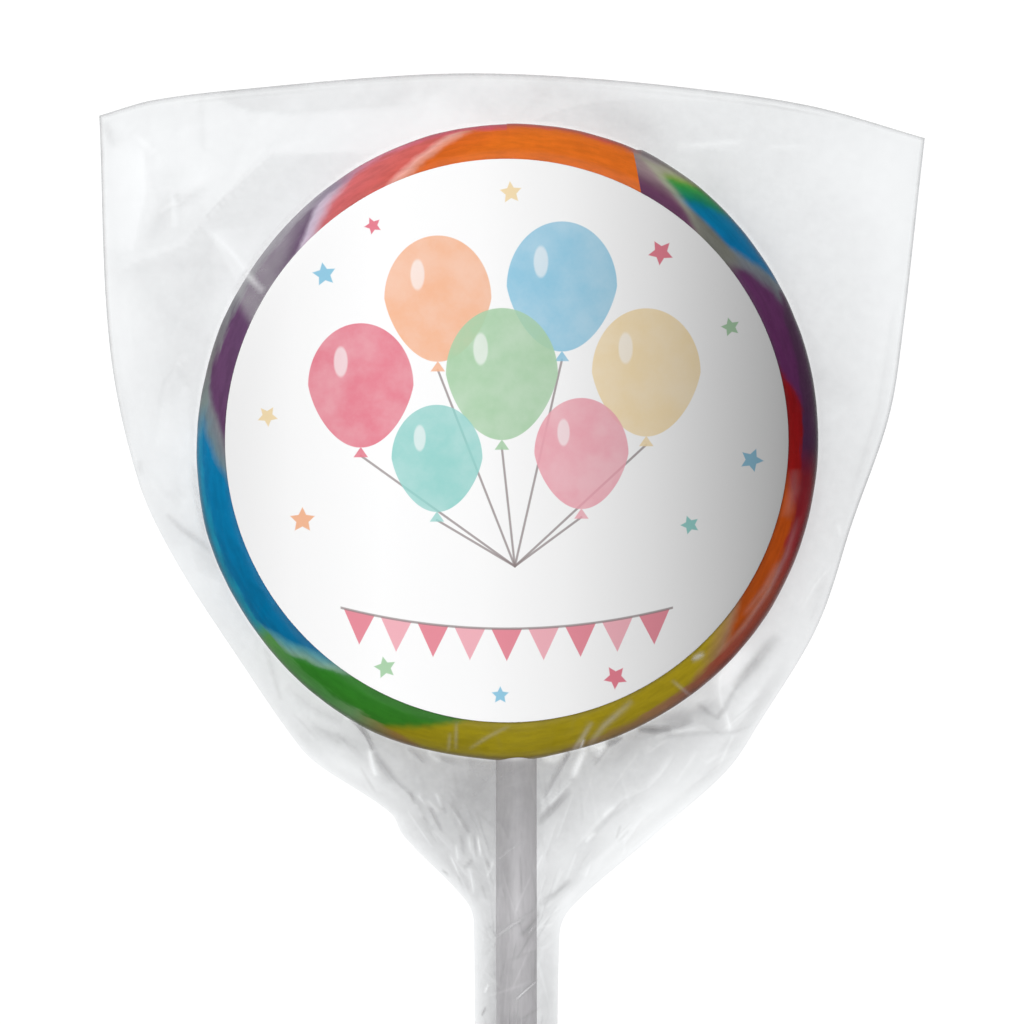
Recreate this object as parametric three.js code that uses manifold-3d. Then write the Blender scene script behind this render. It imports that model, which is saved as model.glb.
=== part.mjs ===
// A bagged swirl lollipop: a flat coiled candy on a round stick, in a clear flat bag that is gathered
// round the stick, with a round paper label on the bag's upper side. It lies on its back.
// Millimetres. X runs across the candy, Y along the stick with the candy's top at +Y, and Z up.
// The origin is below the candy's middle, on the flat spot that the whole thing rests on.

import * as THREE from 'three';
import { mergeVertices } from 'three/addons/utils/BufferGeometryUtils.js';
import Module from 'manifold-3d';

// Candy
const CANDY_LENGTH = 79; // the longer axis of its oval
const CANDY_WIDTH = 76.8; // the shorter axis
const CANDY_TURN = 18; // the longer axis, in degrees clockwise from +Y
const CANDY_THICKNESS = 9;
const FACE_CROWN = 0.5; // the middle of the upper face above its edge
const ROPE_WIDTH = 13; // one turn of the candy rope, which is coiled and pressed flat
const ROPE_TURNS = 2.35;
const GROOVE_WIDTH = 1.8; // the valley between two turns
const GROOVE_DEPTH = 0.45;
const TAIL_CLOCK = 24; // where the rope's tail ends on the rim, in degrees clockwise from +Y
const TAIL_STEP = 0.3; // how far the outline steps out past the tail
const TAIL_FADE = 14; // degrees past the tail over which the step fades to about a third
const GROOVE_RUN_OUT = 0.3; // turns over which the valley runs out at the rope's inner end
const GROOVE_END = 0.1; // share of the valley's size that is left there

// Stick
const STICK_DIAMETER = 5.1;
const STICK_X = 1.2; // it is set a little off the candy's middle
const STICK_ROOT_Y = -4;
const STICK_TIP_Y = -138.7;
const STICK_CHAMFER = 0.4;

// Bag
const FILM = 0.4; // wall of the bag where it hugs the candy and the stick
const CLEARANCE = 0.3; // between the candy or the stick and the bag
const SEAM = 0.7; // thickness where the upper and the lower film meet
const SLEEVE_END_Y = -104;
const SLEEVE_RADIUS = 3.6; // the film's bend over the stick
const CORNER_DROOP = 2.4; // how far the upper corners hang below the candy's middle plane
const DROOP_REACH = [44, 66]; // distances from the candy's middle over which they droop
const DROOP_TO_Y = 25;
const FILLET = 1.2; // between the film over the candy and the film over the stick
const PLEATS = 7; // large folds that fan out from the stick to the candy
const PLEAT_RISE = 0.8;
const GATHER = new THREE.Vector2(1, -66); // the point that the pleats run towards
const PLEAT_START = [2, 14]; // distances from that point over which they rise
const PLEAT_BELOW = [10, 30]; // distances below the candy's middle over which they rise
const PLEAT_OFF_CANDY = 6; // how far from the candy's rim they reach their full height
const PLEAT_OFF_SIDE = 4; // how far from the bag's side edges they reach it
// The bag's left and right edges, as [y, x], and its upper edge, as [x, y].
const LEFT_EDGE = [
  [SLEEVE_END_Y, -4.1], [-60, -4.1], [-57, -5.1], [-49, -12.8], [-46, -14.6], [-40, -23.6],
  [-37, -26.4], [-28, -32.6], [-15, -41], [-5, -45.7], [12, -49.3], [40.5, -50.7],
];
const RIGHT_EDGE = [
  [SLEEVE_END_Y, 6.4], [-62, 6.5], [-58, 7.9], [-49, 18.2], [-41, 27.2], [-35, 31.3],
  [-23, 38.5], [-10, 42.9], [3, 47.4], [14, 49.2], [37.7, 52],
];
const UPPER_EDGE = [
  [-50.7, 40.5], [-44, 42.4], [-32, 43.8], [-10, 45.5], [4, 45.4], [22, 43.9], [38, 41.6], [52, 37.7],
];

// Label
const LABEL_DIAMETER = 69.5;
const LABEL_THICKNESS = 0.3;
const LABEL_GAP = 0.05;

// Smoothness of the faceted surfaces
const DISC_SIDES = 64;
const FACE_RINGS = 3;
const RIM_STEPS = 6;
const STICK_SIDES = 20;
const GROOVE_STEPS = 90;
const BAG_ROWS = 48;
const BAG_COLUMNS = 24;
const STRAIGHT_ROWS_TO_Y = 20; // above this, the rows of the bag's mesh bend to follow its upper edge
const TUCK = 0.15; // the bag's sections stay this far inside the shell that hugs the candy
const MIN_REACH = 1.02; // a film reaches at least this many times its bend's radius
const MERGE_WITHIN = 1e-4; // points closer than this are one point
const SLIVER = 0.02; // faces that a cut leaves thinner than this are merged into their neighbours

const HALF_THICKNESS = CANDY_THICKNESS / 2;
const RIM_BEND = HALF_THICKNESS + CLEARANCE + FILM; // the film's bend over the candy's rim
const MID_Z = RIM_BEND; // height of the candy's middle plane and of the stick's axis
const BAG_TOP_Y = Math.max(...UPPER_EDGE.map(([, y]) => y));

const wasm = await Module();
wasm.setup();

// ---- small helpers ----

const { clamp, degToRad, euclideanModulo, lerp, radToDeg, smoothstep } = THREE.MathUtils;

/** A smooth function through [input, output] knots: cubics with slopes taken from the neighbouring knots. */
function curveThrough(knots) {
  const slopeAt = (i) => {
    const [a, b] = [knots[Math.max(i - 1, 0)], knots[Math.min(i + 1, knots.length - 1)]];
    return (b[1] - a[1]) / (b[0] - a[0]);
  };
  return (input) => {
    const next = knots.findIndex(([at]) => at >= input);
    const i = clamp(next < 0 ? knots.length - 1 : next, 1, knots.length - 1);
    const [[x0, y0], [x1, y1]] = [knots[i - 1], knots[i]];
    const span = x1 - x0;
    const t = clamp((input - x0) / span, 0, 1);
    const ease = t * t * (3 - 2 * t);
    const start = t * (1 - t) ** 2 * span * slopeAt(i - 1);
    const end = t * t * (t - 1) * span * slopeAt(i);
    return y0 + (y1 - y0) * ease + start + end;
  };
}

/** A closed geometry from triangles of three points each. */
function geometryOf(triangles) {
  const geometry = new THREE.BufferGeometry();
  geometry.setAttribute('position', new THREE.Float32BufferAttribute(triangles.flat(2), 3));
  return mergeVertices(geometry, MERGE_WITHIN);
}

/** The four-sided face a, b, c, d as two triangles. */
const quad = (a, b, c, d) => [[a, b, c], [a, c, d]];

/** Walls between neighbouring rings of as many points each, anticlockwise seen from the last one's side. */
function walls(rings) {
  return rings.slice(1).flatMap((upper, r) => upper.flatMap((point, i) => {
    const j = (i + 1) % upper.length;
    return quad(rings[r][i], rings[r][j], upper[j], point);
  }));
}

/** The flat or crowned end of a stack of rings: a fan round its middle point. */
const fan = (ring, middle) => ring.map((point, i) => [point, ring[(i + 1) % ring.length], middle]);

/** A solid that can be joined and cut, of a closed geometry. */
function solidOf(geometry) {
  const bare = geometry.clone();
  bare.deleteAttribute('normal');
  bare.deleteAttribute('uv');
  const merged = mergeVertices(bare, MERGE_WITHIN);
  return new wasm.Manifold(new wasm.Mesh({
    numProp: 3,
    vertProperties: new Float32Array(merged.attributes.position.array),
    triVerts: new Uint32Array(merged.index.array),
  }));
}

/** The geometry of a solid, without the slivers that cuts leave. */
function geometryFrom(solid) {
  const { vertProperties, triVerts } = solid.simplify(SLIVER).getMesh();
  const geometry = new THREE.BufferGeometry();
  geometry.setAttribute('position', new THREE.BufferAttribute(vertProperties, 3));
  geometry.setIndex(new THREE.BufferAttribute(triVerts, 1));
  return geometry;
}

/** A named mesh with flat-shaded faces. */
function piece(name, geometry, colour, roughness, options = {}) {
  const material = new THREE.MeshStandardMaterial({ color: colour, roughness, metalness: 0, ...options });
  const mesh = new THREE.Mesh(geometry.toNonIndexed(), material);
  mesh.geometry.computeVertexNormals();
  mesh.name = name;
  return mesh;
}

// ---- candy ----

/** Distance from the candy's middle to its rim: a turned oval with a step where the rope's tail ends. */
function candyRadius(clock) {
  const turned = clock - degToRad(CANDY_TURN);
  const oval = 1 / Math.hypot(Math.sin(turned) / (CANDY_WIDTH / 2), Math.cos(turned) / (CANDY_LENGTH / 2));
  const pastTail = euclideanModulo(radToDeg(clock) - TAIL_CLOCK, 360);
  return oval + TAIL_STEP * Math.exp(-pastTail / TAIL_FADE);
}

/** Distance from the middle to where the flat face ends and the round rim starts. */
const faceRadius = (clock) => candyRadius(clock) - HALF_THICKNESS;

/** Rise of the upper face at a share of the way from its middle, 0, to its edge, 1. */
const crown = (reach) => FACE_CROWN * (1 - Math.min(reach, 1) ** 2) ** 2;

/** A point at a clock angle, a distance from the candy's middle and a height above its middle plane. */
const polar = (clock, radius, rise) => [radius * Math.sin(clock), radius * Math.cos(clock), MID_Z + rise];

/** The candy's smooth body, grown by the same amount on all sides. */
function discBody(growth) {
  const half = HALF_THICKNESS + growth;
  // Clock angles run backwards, so that each ring is anticlockwise seen from above.
  const clocks = Array.from({ length: DISC_SIDES }, (_, i) => (-2 * Math.PI * i) / DISC_SIDES + Math.PI);
  const rim = Array.from({ length: RIM_STEPS + 1 }, (_, i) => {
    const angle = Math.PI * (i / RIM_STEPS - 0.5);
    const [outside, rise] = [half * Math.cos(angle), half * Math.sin(angle)];
    return clocks.map((clock) => polar(clock, faceRadius(clock) + outside, rise));
  });
  const face = Array.from({ length: FACE_RINGS }, (_, i) => {
    const reach = 1 - (i + 1) / (FACE_RINGS + 1);
    return clocks.map((clock) => polar(clock, faceRadius(clock) * reach, half + crown(reach)));
  });
  const rings = [...rim, ...face];
  const under = fan(rings[0].toReversed(), polar(0, 0, -half));
  const over = fan(rings.at(-1), polar(0, 0, half + crown(0)));
  return solidOf(geometryOf([...under, ...walls(rings), ...over]));
}

/** A cutter for the spiral valley between the rope's turns, on the upper face, side 1, or the lower, side -1. */
function grooveCutter(side) {
  const flatTo = CANDY_LENGTH / 2 - HALF_THICKNESS;
  const rings = Array.from({ length: GROOVE_STEPS + 1 }, (_, i) => {
    const turns = (ROPE_TURNS * i) / GROOVE_STEPS;
    const clock = degToRad(TAIL_CLOCK) - 2 * Math.PI * turns;
    const radius = flatTo + GROOVE_WIDTH - ROPE_WIDTH * turns;
    const rimDrop = HALF_THICKNESS - Math.sqrt(HALF_THICKNESS ** 2 - Math.max(radius - flatTo, 0) ** 2);
    const level = HALF_THICKNESS - rimDrop + (side > 0 ? crown(radius / flatTo) : 0);
    const fade = lerp(GROOVE_END, 1, smoothstep(ROPE_TURNS - turns, 0, GROOVE_RUN_OUT));
    const [across, deep] = [GROOVE_WIDTH * fade, GROOVE_DEPTH * fade];
    const section = [
      polar(clock, radius + across, side * (level + deep)),
      polar(clock, radius, side * (level - deep)),
      polar(clock, radius - across, side * (level + deep)),
    ];
    return side > 0 ? section : section.toReversed();
  });
  const [first, last] = [rings[0].toReversed(), rings.at(-1)];
  return solidOf(geometryOf([first, ...walls(rings), last]));
}

// ---- stick ----

/** A round rod along the stick's axis between two places in Y, with chamfered ends where it has a chamfer. */
function rod(radius, fromY, toY, chamfer = 0) {
  const fromEnd = chamfer > 0 ? [[radius - chamfer, fromY]] : [];
  const toEnd = chamfer > 0 ? [[radius - chamfer, toY]] : [];
  const side = [[radius, fromY + chamfer], [radius, toY - chamfer]];
  const profile = [[0, fromY], ...fromEnd, ...side, ...toEnd, [0, toY]];
  const points = profile.map(([across, y]) => new THREE.Vector2(across, y));
  return solidOf(new THREE.LatheGeometry(points, STICK_SIDES).translate(STICK_X, 0, MID_Z));
}

// ---- bag ----

const leftEdge = curveThrough(LEFT_EDGE);
const rightEdge = curveThrough(RIGHT_EDGE);
const upperEdge = curveThrough(UPPER_EDGE);

/** Rise of a film that is stretched from a bend of a given radius to the bag's edge: round, then straight. */
function stretched(bend, outside, toEdge) {
  const whole = Math.max(outside + toEdge, bend * MIN_REACH);
  if (outside <= 0) {
    return bend;
  }
  if (outside < (bend * bend) / whole) {
    return Math.sqrt(bend * bend - outside * outside);
  }
  return (bend * toEdge) / whole / Math.sqrt(1 - (bend / whole) ** 2);
}

/** How far the bag's film stands from the plane of its seam at a place, before pleats. */
function filmRise(x, y) {
  const toEdge = Math.max(Math.min(x - leftEdge(y), rightEdge(y) - x, upperEdge(x) - y), 0);
  const overCandy = stretched(RIM_BEND - TUCK, Math.hypot(x, y) - faceRadius(Math.atan2(x, y)), toEdge);
  const overStick = y < 0 ? stretched(SLEEVE_RADIUS, Math.abs(x - STICK_X), toEdge) : 0;
  const fillet = Math.max(FILLET - Math.abs(overCandy - overStick), 0) ** 2 / (4 * FILLET);
  return Math.max(Math.max(overCandy, overStick) + fillet, SEAM / 2);
}

/** Height of the pleats that fan out from the stick, with crests shifted by a share of their spacing. */
function pleatRise(x, y, shift) {
  const [across, along] = [x - GATHER.x, y - GATHER.y];
  const turn = Math.atan2(across, Math.max(along, 1)) / Math.PI;
  const crests = 0.5 + 0.5 * Math.cos(2 * Math.PI * (PLEATS * turn + shift));
  const toEdge = Math.min(x - leftEdge(y), rightEdge(y) - x);
  const offCandy = smoothstep(Math.hypot(x, y) - CANDY_LENGTH / 2, 0, PLEAT_OFF_CANDY);
  const reach = smoothstep(Math.hypot(across, along), ...PLEAT_START);
  const offSide = smoothstep(toEdge, 0, PLEAT_OFF_SIDE);
  return PLEAT_RISE * crests * offCandy * reach * offSide * smoothstep(-y, ...PLEAT_BELOW);
}

/** Height of the surface in which the two films meet: level, but hanging towards the upper corners. */
function seamHeight(x, y) {
  return MID_Z - CORNER_DROOP * smoothstep(Math.hypot(x, y), ...DROOP_REACH) * smoothstep(y, 0, DROOP_TO_Y);
}

/** The bag's cross-sections from the sleeve's end to the upper edge: left to right above, and back below. */
function bagSections() {
  return Array.from({ length: BAG_ROWS + 1 }, (_, row) => {
    const nominal = lerp(SLEEVE_END_Y, BAG_TOP_Y, row / BAG_ROWS);
    const bent = Math.max((nominal - STRAIGHT_ROWS_TO_Y) / (BAG_TOP_Y - STRAIGHT_ROWS_TO_Y), 0);
    const sideY = (corner) => (bent > 0 ? lerp(STRAIGHT_ROWS_TO_Y, corner, bent) : nominal);
    const left = leftEdge(sideY(LEFT_EDGE.at(-1)[0]));
    const right = rightEdge(sideY(RIGHT_EDGE.at(-1)[0]));
    const places = Array.from({ length: BAG_COLUMNS + 1 }, (_, column) => {
      const x = lerp(left, right, column / BAG_COLUMNS);
      return [x, bent > 0 ? lerp(STRAIGHT_ROWS_TO_Y, upperEdge(x), bent) : nominal];
    });
    const upper = places.map(([x, y]) => [x, y, seamHeight(x, y) + filmRise(x, y) + pleatRise(x, y, 0)]);
    const lower = places.map(([x, y]) => [x, y, seamHeight(x, y) - filmRise(x, y) - pleatRise(x, y, 0.5)]);
    return [...upper, ...lower.toReversed()];
  });
}

/** The end of a section as a ladder between its upper and its lower points. */
function ladder(section) {
  const half = section.length / 2;
  return Array.from({ length: half - 1 }, (_, i) => (
    quad(section[i], section[i + 1], section.at(-2 - i), section.at(-1 - i))
  )).flat();
}

function bagBody() {
  const sections = bagSections();
  const first = ladder(sections[0]).map((triangle) => triangle.toReversed());
  const film = solidOf(geometryOf([...first, ...walls(sections), ...ladder(sections.at(-1))]));
  const bore = rod(STICK_DIAMETER / 2 + CLEARANCE, SLEEVE_END_Y - 1, STICK_ROOT_Y);
  return film.add(discBody(CLEARANCE + FILM)).subtract(discBody(CLEARANCE)).subtract(bore);
}

// ---- label ----

/** A thin round sheet that follows the crowned face below it. */
function labelBody() {
  const steps = FACE_RINGS + 1;
  const level = RIM_BEND + LABEL_GAP;
  const ring = (reach, lift) => Array.from({ length: DISC_SIDES }, (_, i) => {
    const clock = (-2 * Math.PI * i) / DISC_SIDES;
    return polar(clock, (LABEL_DIAMETER / 2) * reach, level + crown(reach) + lift);
  });
  const reaches = Array.from({ length: steps }, (_, i) => (i + 1) / steps);
  const under = reaches.map((reach) => ring(reach, 0));
  const over = reaches.toReversed().map((reach) => ring(reach, LABEL_THICKNESS));
  const rings = [...under, ...over];
  return geometryOf([
    ...fan(rings[0].toReversed(), polar(0, 0, level + crown(0))),
    ...walls(rings),
    ...fan(rings.at(-1), polar(0, 0, level + crown(0) + LABEL_THICKNESS)),
  ]);
}

// ---- the whole lollipop ----

const socket = rod(STICK_DIAMETER / 2 + CLEARANCE, SLEEVE_END_Y, STICK_ROOT_Y + CLEARANCE);
const candy = discBody(0).subtract(grooveCutter(1)).subtract(grooveCutter(-1)).subtract(socket);
const stick = rod(STICK_DIAMETER / 2, STICK_TIP_Y, STICK_ROOT_Y, STICK_CHAMFER);

const lollipop = new THREE.Group();
lollipop.add(
  piece('candy', geometryFrom(candy), 0xc8641e, 0.25),
  piece('stick', geometryFrom(stick), 0xd8d5d6, 0.55),
  piece('bag', geometryFrom(bagBody()), 0xeef1f3, 0.1, { transparent: true, opacity: 0.3 }),
  piece('label', labelBody(), 0xfbfafa, 0.45),
);

export default lollipop;
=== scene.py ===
import math

import bmesh
import bpy
import numpy as np
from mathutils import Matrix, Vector


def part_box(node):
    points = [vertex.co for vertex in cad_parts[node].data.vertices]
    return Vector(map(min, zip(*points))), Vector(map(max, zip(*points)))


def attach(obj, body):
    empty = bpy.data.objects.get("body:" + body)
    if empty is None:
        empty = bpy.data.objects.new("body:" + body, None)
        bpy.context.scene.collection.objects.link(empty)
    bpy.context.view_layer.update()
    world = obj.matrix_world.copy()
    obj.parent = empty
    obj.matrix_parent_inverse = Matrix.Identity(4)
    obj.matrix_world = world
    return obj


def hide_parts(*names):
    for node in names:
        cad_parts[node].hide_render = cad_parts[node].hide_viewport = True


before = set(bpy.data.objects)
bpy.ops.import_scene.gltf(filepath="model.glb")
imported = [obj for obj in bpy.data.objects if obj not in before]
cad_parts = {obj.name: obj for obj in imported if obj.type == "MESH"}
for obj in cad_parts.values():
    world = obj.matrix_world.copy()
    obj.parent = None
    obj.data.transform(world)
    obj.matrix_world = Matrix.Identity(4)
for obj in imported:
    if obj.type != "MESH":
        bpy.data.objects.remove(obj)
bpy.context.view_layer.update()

# A bagged swirl lollipop on its back. Its shapes are worked out in millimetres and made in metres.
# X runs across the candy, Y along the stick and Z up. Clock angles run clockwise from +Y, in degrees.
MM = 0.001


def node_box(name):
    """Lowest and highest corner of a CAD node, in millimetres."""
    low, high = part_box(name)
    return np.array(low) / MM, np.array(high) / MM


candy_low, candy_high = node_box("candy")
stick_low, stick_high = node_box("stick")
bag_low, bag_high = node_box("bag")
_, label_high = node_box("label")

# Candy
MID_Z = (stick_low[2] + stick_high[2]) / 2
HALF_THICKNESS = MID_Z - candy_low[2]
CANDY_LONG = 39.5        # half of its oval's longer axis
CANDY_SHORT = 38.4       # half of the shorter one
CANDY_TURN = 18          # the clock angle of the longer axis
FACE_CROWN = candy_high[2] - MID_Z - HALF_THICKNESS
ROPE_WIDTH = 13          # one turn of the coiled rope
ROPE_TURNS = 2.35
GROOVE_WIDTH = 1.1       # half width of the valley between two turns
GROOVE_DEPTH = 0.4
GROOVE_RUN_OUT = 0.3     # turns over which the valley runs out at the rope's inner end
TAIL_CLOCK = 24          # where the rope's tail ends on the rim
TAIL_STEP = 0.3          # how far the outline steps out past the tail
TAIL_FADE = 14           # degrees past the tail over which the step fades to about a third
COLLAR = 0.6             # how far the sugar swells round the stick
COLLAR_WIDTH = 4.2       # half width of that swelling
# Where the rim bulges out, or in below 0: the clock angle, by how much, and how many degrees to each side.
RIM_BULGES = [(122, 0.3, 30), (250, 0.2, 13), (204, 0.3, 9), (314, -0.32, 34)]

# Stick
STICK_RADIUS = (stick_high[0] - stick_low[0]) / 2
STICK_X = (stick_high[0] + stick_low[0]) / 2
PAPER = 0.05             # thickness of the paper that the stick is rolled from

# Bag
RIM_BEND = MID_Z         # the film's bend over the candy's rim
SLEEVE_RADIUS = 3.3      # its bend over the stick
FILLET = 1.2             # between the film over the candy and the film over the stick
SLEEVE_END_Y = bag_low[1]
BAG_TOP_Y = bag_high[1]
MIN_REACH = 1.02         # a film reaches at least this many times its bend's radius
CORNER_DROOP = 2.4       # how far the upper corners hang below the candy's middle plane
DROOP_REACH = (44, 66)   # distances from the candy's middle over which they droop
DROOP_TO_Y = 25
PLEATS = 7               # large folds that fan out from the stick to the candy
PLEAT_RISE = 0.8
PLEAT_START = (2, 14)    # distances from the gather over which they rise
PLEAT_BELOW = (10, 30)   # distances below the candy's middle over which they rise
PLEAT_OFF_CANDY = 6      # how far from the candy's rim they reach their full height
PLEAT_OFF_SIDE = 4       # how far from the bag's side edges they reach it
GATHER = (1, -66)        # the place that the pleats and the folds below the candy run towards
STRAIGHT_ROWS_TO_Y = 20  # above this, the rows of points bend to follow the bag's upper edge
FAN_FROM_Y = -73         # the rows lie closest together from here
FAN_TO_Y = -28           # to here
OFF_FLOOR = 0.02         # the least height of the film
# The rows of points of the film, by Y: those of its gathered part and those of the part above.
GATHERED_ROWS = np.concatenate([
    np.linspace(SLEEVE_END_Y, FAN_FROM_Y, 60, endpoint=False),
    np.linspace(FAN_FROM_Y, FAN_TO_Y, 251),
])
OPEN_ROWS = np.linspace(FAN_TO_Y, BAG_TOP_Y, 201)
# The bag's outline: X by Y at its sides, and Y by X at its top.
LEFT_EDGE = [
    (-104, -4.1), (-60, -4.1), (-57, -5.1), (-49, -12.8), (-46, -14.6), (-40, -23.6),
    (-37, -26.4), (-28, -32.6), (-15, -41), (-5, -45.7), (12, -49.3), (40.5, -50.7),
]
RIGHT_EDGE = [
    (-104, 6.4), (-62, 6.5), (-58, 7.9), (-49, 18.2), (-41, 27.2), (-35, 31.3),
    (-23, 38.5), (-10, 42.9), (3, 47.4), (14, 49.2), (37.7, 52),
]
UPPER_EDGE = [
    (-50.7, 40.5), (-44, 42.4), (-32, 43.8), (-10, 45.5), (4, 45.4), (22, 43.9), (38, 41.6), (52, 37.7),
]

# Label
LABEL_RADIUS = label_high[0]
LABEL_THICKNESS = 0.18
LABEL_GAP = 0.03         # between the label and the film below it


# ---------------------------------------------------------------- node trees

def rgb(red, green, blue):
    """A colour from its 0 to 255 screen values."""
    shares = [value / 255 for value in (red, green, blue)]
    return (*[s / 12.92 if s < 0.04045 else ((s + 0.055) / 1.055) ** 2.4 for s in shares], 1.0)


class Field:
    """A socket of a node tree. Arithmetic on it adds Math nodes, and node() adds any other node."""

    def __init__(self, tree, socket=None):
        self.tree = tree
        self.socket = socket

    def node(self, kind, settings=(), sockets=(), output=0):
        """Adds a node of a type, with its settings, then its sockets' values or links by name or place."""
        made = self.tree.nodes.new(kind)
        for name, value in dict(settings).items():
            if name == "stops":
                set_stops(made.color_ramp, value)
            else:
                setattr(made, name, value)
        for name, value in dict(sockets).items():
            if isinstance(value, Field):
                self.tree.links.new(value.socket, made.inputs[name])
            else:
                made.inputs[name].default_value = value
        return Field(self.tree, made.outputs[output] if made.outputs else None)

    def math(self, operation, *values):
        return self.node("ShaderNodeMath", {"operation": operation}, enumerate(values))

    def outputs(self, *names):
        """Other sockets of the node that this one belongs to, by name or place."""
        return [Field(self.tree, self.socket.node.outputs[name]) for name in names]

    def of(self, operation, *others):
        """A Math node whose first value is this one."""
        return self.math(operation, self, *others)

    def __add__(self, other):
        return self.of("ADD", other)

    def __sub__(self, other):
        return self.of("SUBTRACT", other)

    def __rsub__(self, other):
        return self.math("SUBTRACT", other, self)

    def __mul__(self, other):
        return self.of("MULTIPLY", other)

    def __truediv__(self, other):
        return self.of("DIVIDE", other)

    def __rtruediv__(self, other):
        return self.math("DIVIDE", other, self)

    def __pow__(self, other):
        return self.of("POWER", other)

    def __lt__(self, other):
        return self.of("LESS_THAN", other)

    __radd__ = __add__
    __rmul__ = __mul__

    def bell(self):
        """1 where this value is 0, falling to about a third at 1 and -1."""
        return (0 - self * self).of("EXPONENT")

    def ease(self, start, end):
        """0 below start and 1 above end, with a smooth step between them."""
        values = {"Value": self, "From Min": start, "From Max": end}
        return self.node("ShaderNodeMapRange", {"interpolation_type": "SMOOTHSTEP"}, values)

    def blend(self, first, second):
        """A colour between two, by this value."""
        return self.node("ShaderNodeMix", {"data_type": "RGBA"}, {0: self, 6: first, 7: second}, 2)

    def tint(self, colour):
        """This colour multiplied by another."""
        settings = {"data_type": "RGBA", "blend_type": "MULTIPLY"}
        return self.node("ShaderNodeMix", settings, {0: 1.0, 6: self, 7: colour}, 2)

    def ramp(self, stops):
        """The colour at this value on a ramp of stops, each a place and a colour."""
        return self.node("ShaderNodeValToRGB", {"stops": stops}, {0: self})


def set_stops(ramp, stops):
    """Gives a colour ramp its stops, each a place and a colour."""
    while len(ramp.elements) < len(stops):
        ramp.elements.new(1.0)
    for element, (place, colour) in zip(ramp.elements, stops):
        element.position = place
        element.color = colour


def object_place(start):
    """The place of a point of the object, in millimetres."""
    place = start.node("ShaderNodeTexCoord", output="Object")
    return place.node("ShaderNodeVectorMath", {"operation": "SCALE"}, {0: place, "Scale": 1 / MM})


def axes(place):
    """The X, Y and Z of a place."""
    return place.node("ShaderNodeSeparateXYZ", (), {0: place}).outputs(0, 1, 2)


def noise(place, scale, detail=3.0, roughness=0.5, stretch=(1, 1, 1)):
    """Noise over a place, from 0 to 1."""
    moved = place.node("ShaderNodeVectorMath", {"operation": "MULTIPLY"}, {0: place, 1: stretch})
    sockets = {"Vector": moved, "Scale": scale, "Detail": detail, "Roughness": roughness}
    return place.node("ShaderNodeTexNoise", (), sockets)


def relief(height, strength, depth):
    """A normal for a surface that a height field roughens, to a depth in millimetres."""
    return height.node("ShaderNodeBump", (), {"Strength": strength, "Distance": depth * MM, "Height": height})


def new_material(name):
    """An empty node material and the start of its fields."""
    material = bpy.data.materials.new(name)
    material.use_nodes = True
    material.node_tree.nodes.clear()
    return material, Field(material.node_tree)


def principled(colour, roughness, **others):
    """A shader with a colour, a roughness and other sockets, each under its name with _ for a space."""
    sockets = {name.replace("_", " "): value for name, value in others.items()}
    sockets = {"Base Color": colour, "Roughness": roughness, **sockets}
    return colour.node("ShaderNodeBsdfPrincipled", (), sockets)


def surface(shader):
    shader.node("ShaderNodeOutputMaterial", (), {"Surface": shader})


# ---------------------------------------------------------------- meshes

def add_object(name, data):
    """An object of a mesh, a lamp or a camera, in the scene."""
    made = bpy.data.objects.new(name, data)
    bpy.context.collection.objects.link(made)
    return made


def mesh_object(name, points, faces):
    """A smooth-shaded mesh object from points in millimetres."""
    mesh = bpy.data.meshes.new(name)
    mesh.from_pydata((np.asarray(points) * MM).tolist(), [], faces)
    mesh.update()
    mesh.shade_smooth()
    return add_object(name, mesh)


def weld(made, within=1e-6):
    """Merges a mesh's doubled points, turns its faces outwards and gives it back."""
    work = bmesh.new()
    work.from_mesh(made.data)
    bmesh.ops.remove_doubles(work, verts=work.verts, dist=within)
    bmesh.ops.dissolve_degenerate(work, edges=work.edges, dist=within)
    bmesh.ops.recalc_face_normals(work, faces=work.faces)
    work.to_mesh(made.data)
    work.free()
    return made


def grid_faces(rows, columns, turned=False):
    """The quads of a grid of points that are given row by row, seen from above or turned over."""
    row, column = np.mgrid[0:rows, 0:columns]
    start = (row * (columns + 1) + column).ravel()
    quads = np.stack([start, start + 1, start + columns + 2, start + columns + 1], axis=1)
    return (quads[:, ::-1] if turned else quads).tolist()


def set_attribute(made, name, values):
    """A number for each point of a mesh, which its material reads."""
    layer = made.data.attributes.new(name, "FLOAT", "POINT")
    layer.data.foreach_set("value", np.asarray(values, np.float32))


def finish_piece(made, node, material):
    """Puts a piece's material on it, hangs it under the root body and hides the CAD node that it stands for.
    """
    made.data.materials.clear()
    made.data.materials.append(material)
    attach(made, "root")
    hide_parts(node)


# ---------------------------------------------------------------- shape of the bag

def smooth(value, start, end):
    """0 up to start and 1 from end on, with a smooth step between them."""
    share = np.clip((value - start) / (end - start), 0, 1)
    return share * share * (3 - 2 * share)


def curve_through(knots):
    """A smooth function through (input, output) knots, with slopes taken from their neighbours."""
    at, to = np.array(knots, float).T
    before = np.maximum(np.arange(len(at)) - 1, 0)
    after = np.minimum(np.arange(len(at)) + 1, len(at) - 1)
    slope = (to[after] - to[before]) / (at[after] - at[before])

    def curve(value):
        i = np.clip(np.searchsorted(at, value), 1, len(at) - 1)
        span = at[i] - at[i - 1]
        t = np.clip((value - at[i - 1]) / span, 0, 1)
        start = t * (1 - t) ** 2 * span * slope[i - 1]
        end = t * t * (t - 1) * span * slope[i]
        return to[i - 1] + (to[i] - to[i - 1]) * t * t * (3 - 2 * t) + start + end

    return curve


left_edge = curve_through(LEFT_EDGE)
right_edge = curve_through(RIGHT_EDGE)
upper_edge = curve_through(UPPER_EDGE)


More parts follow.
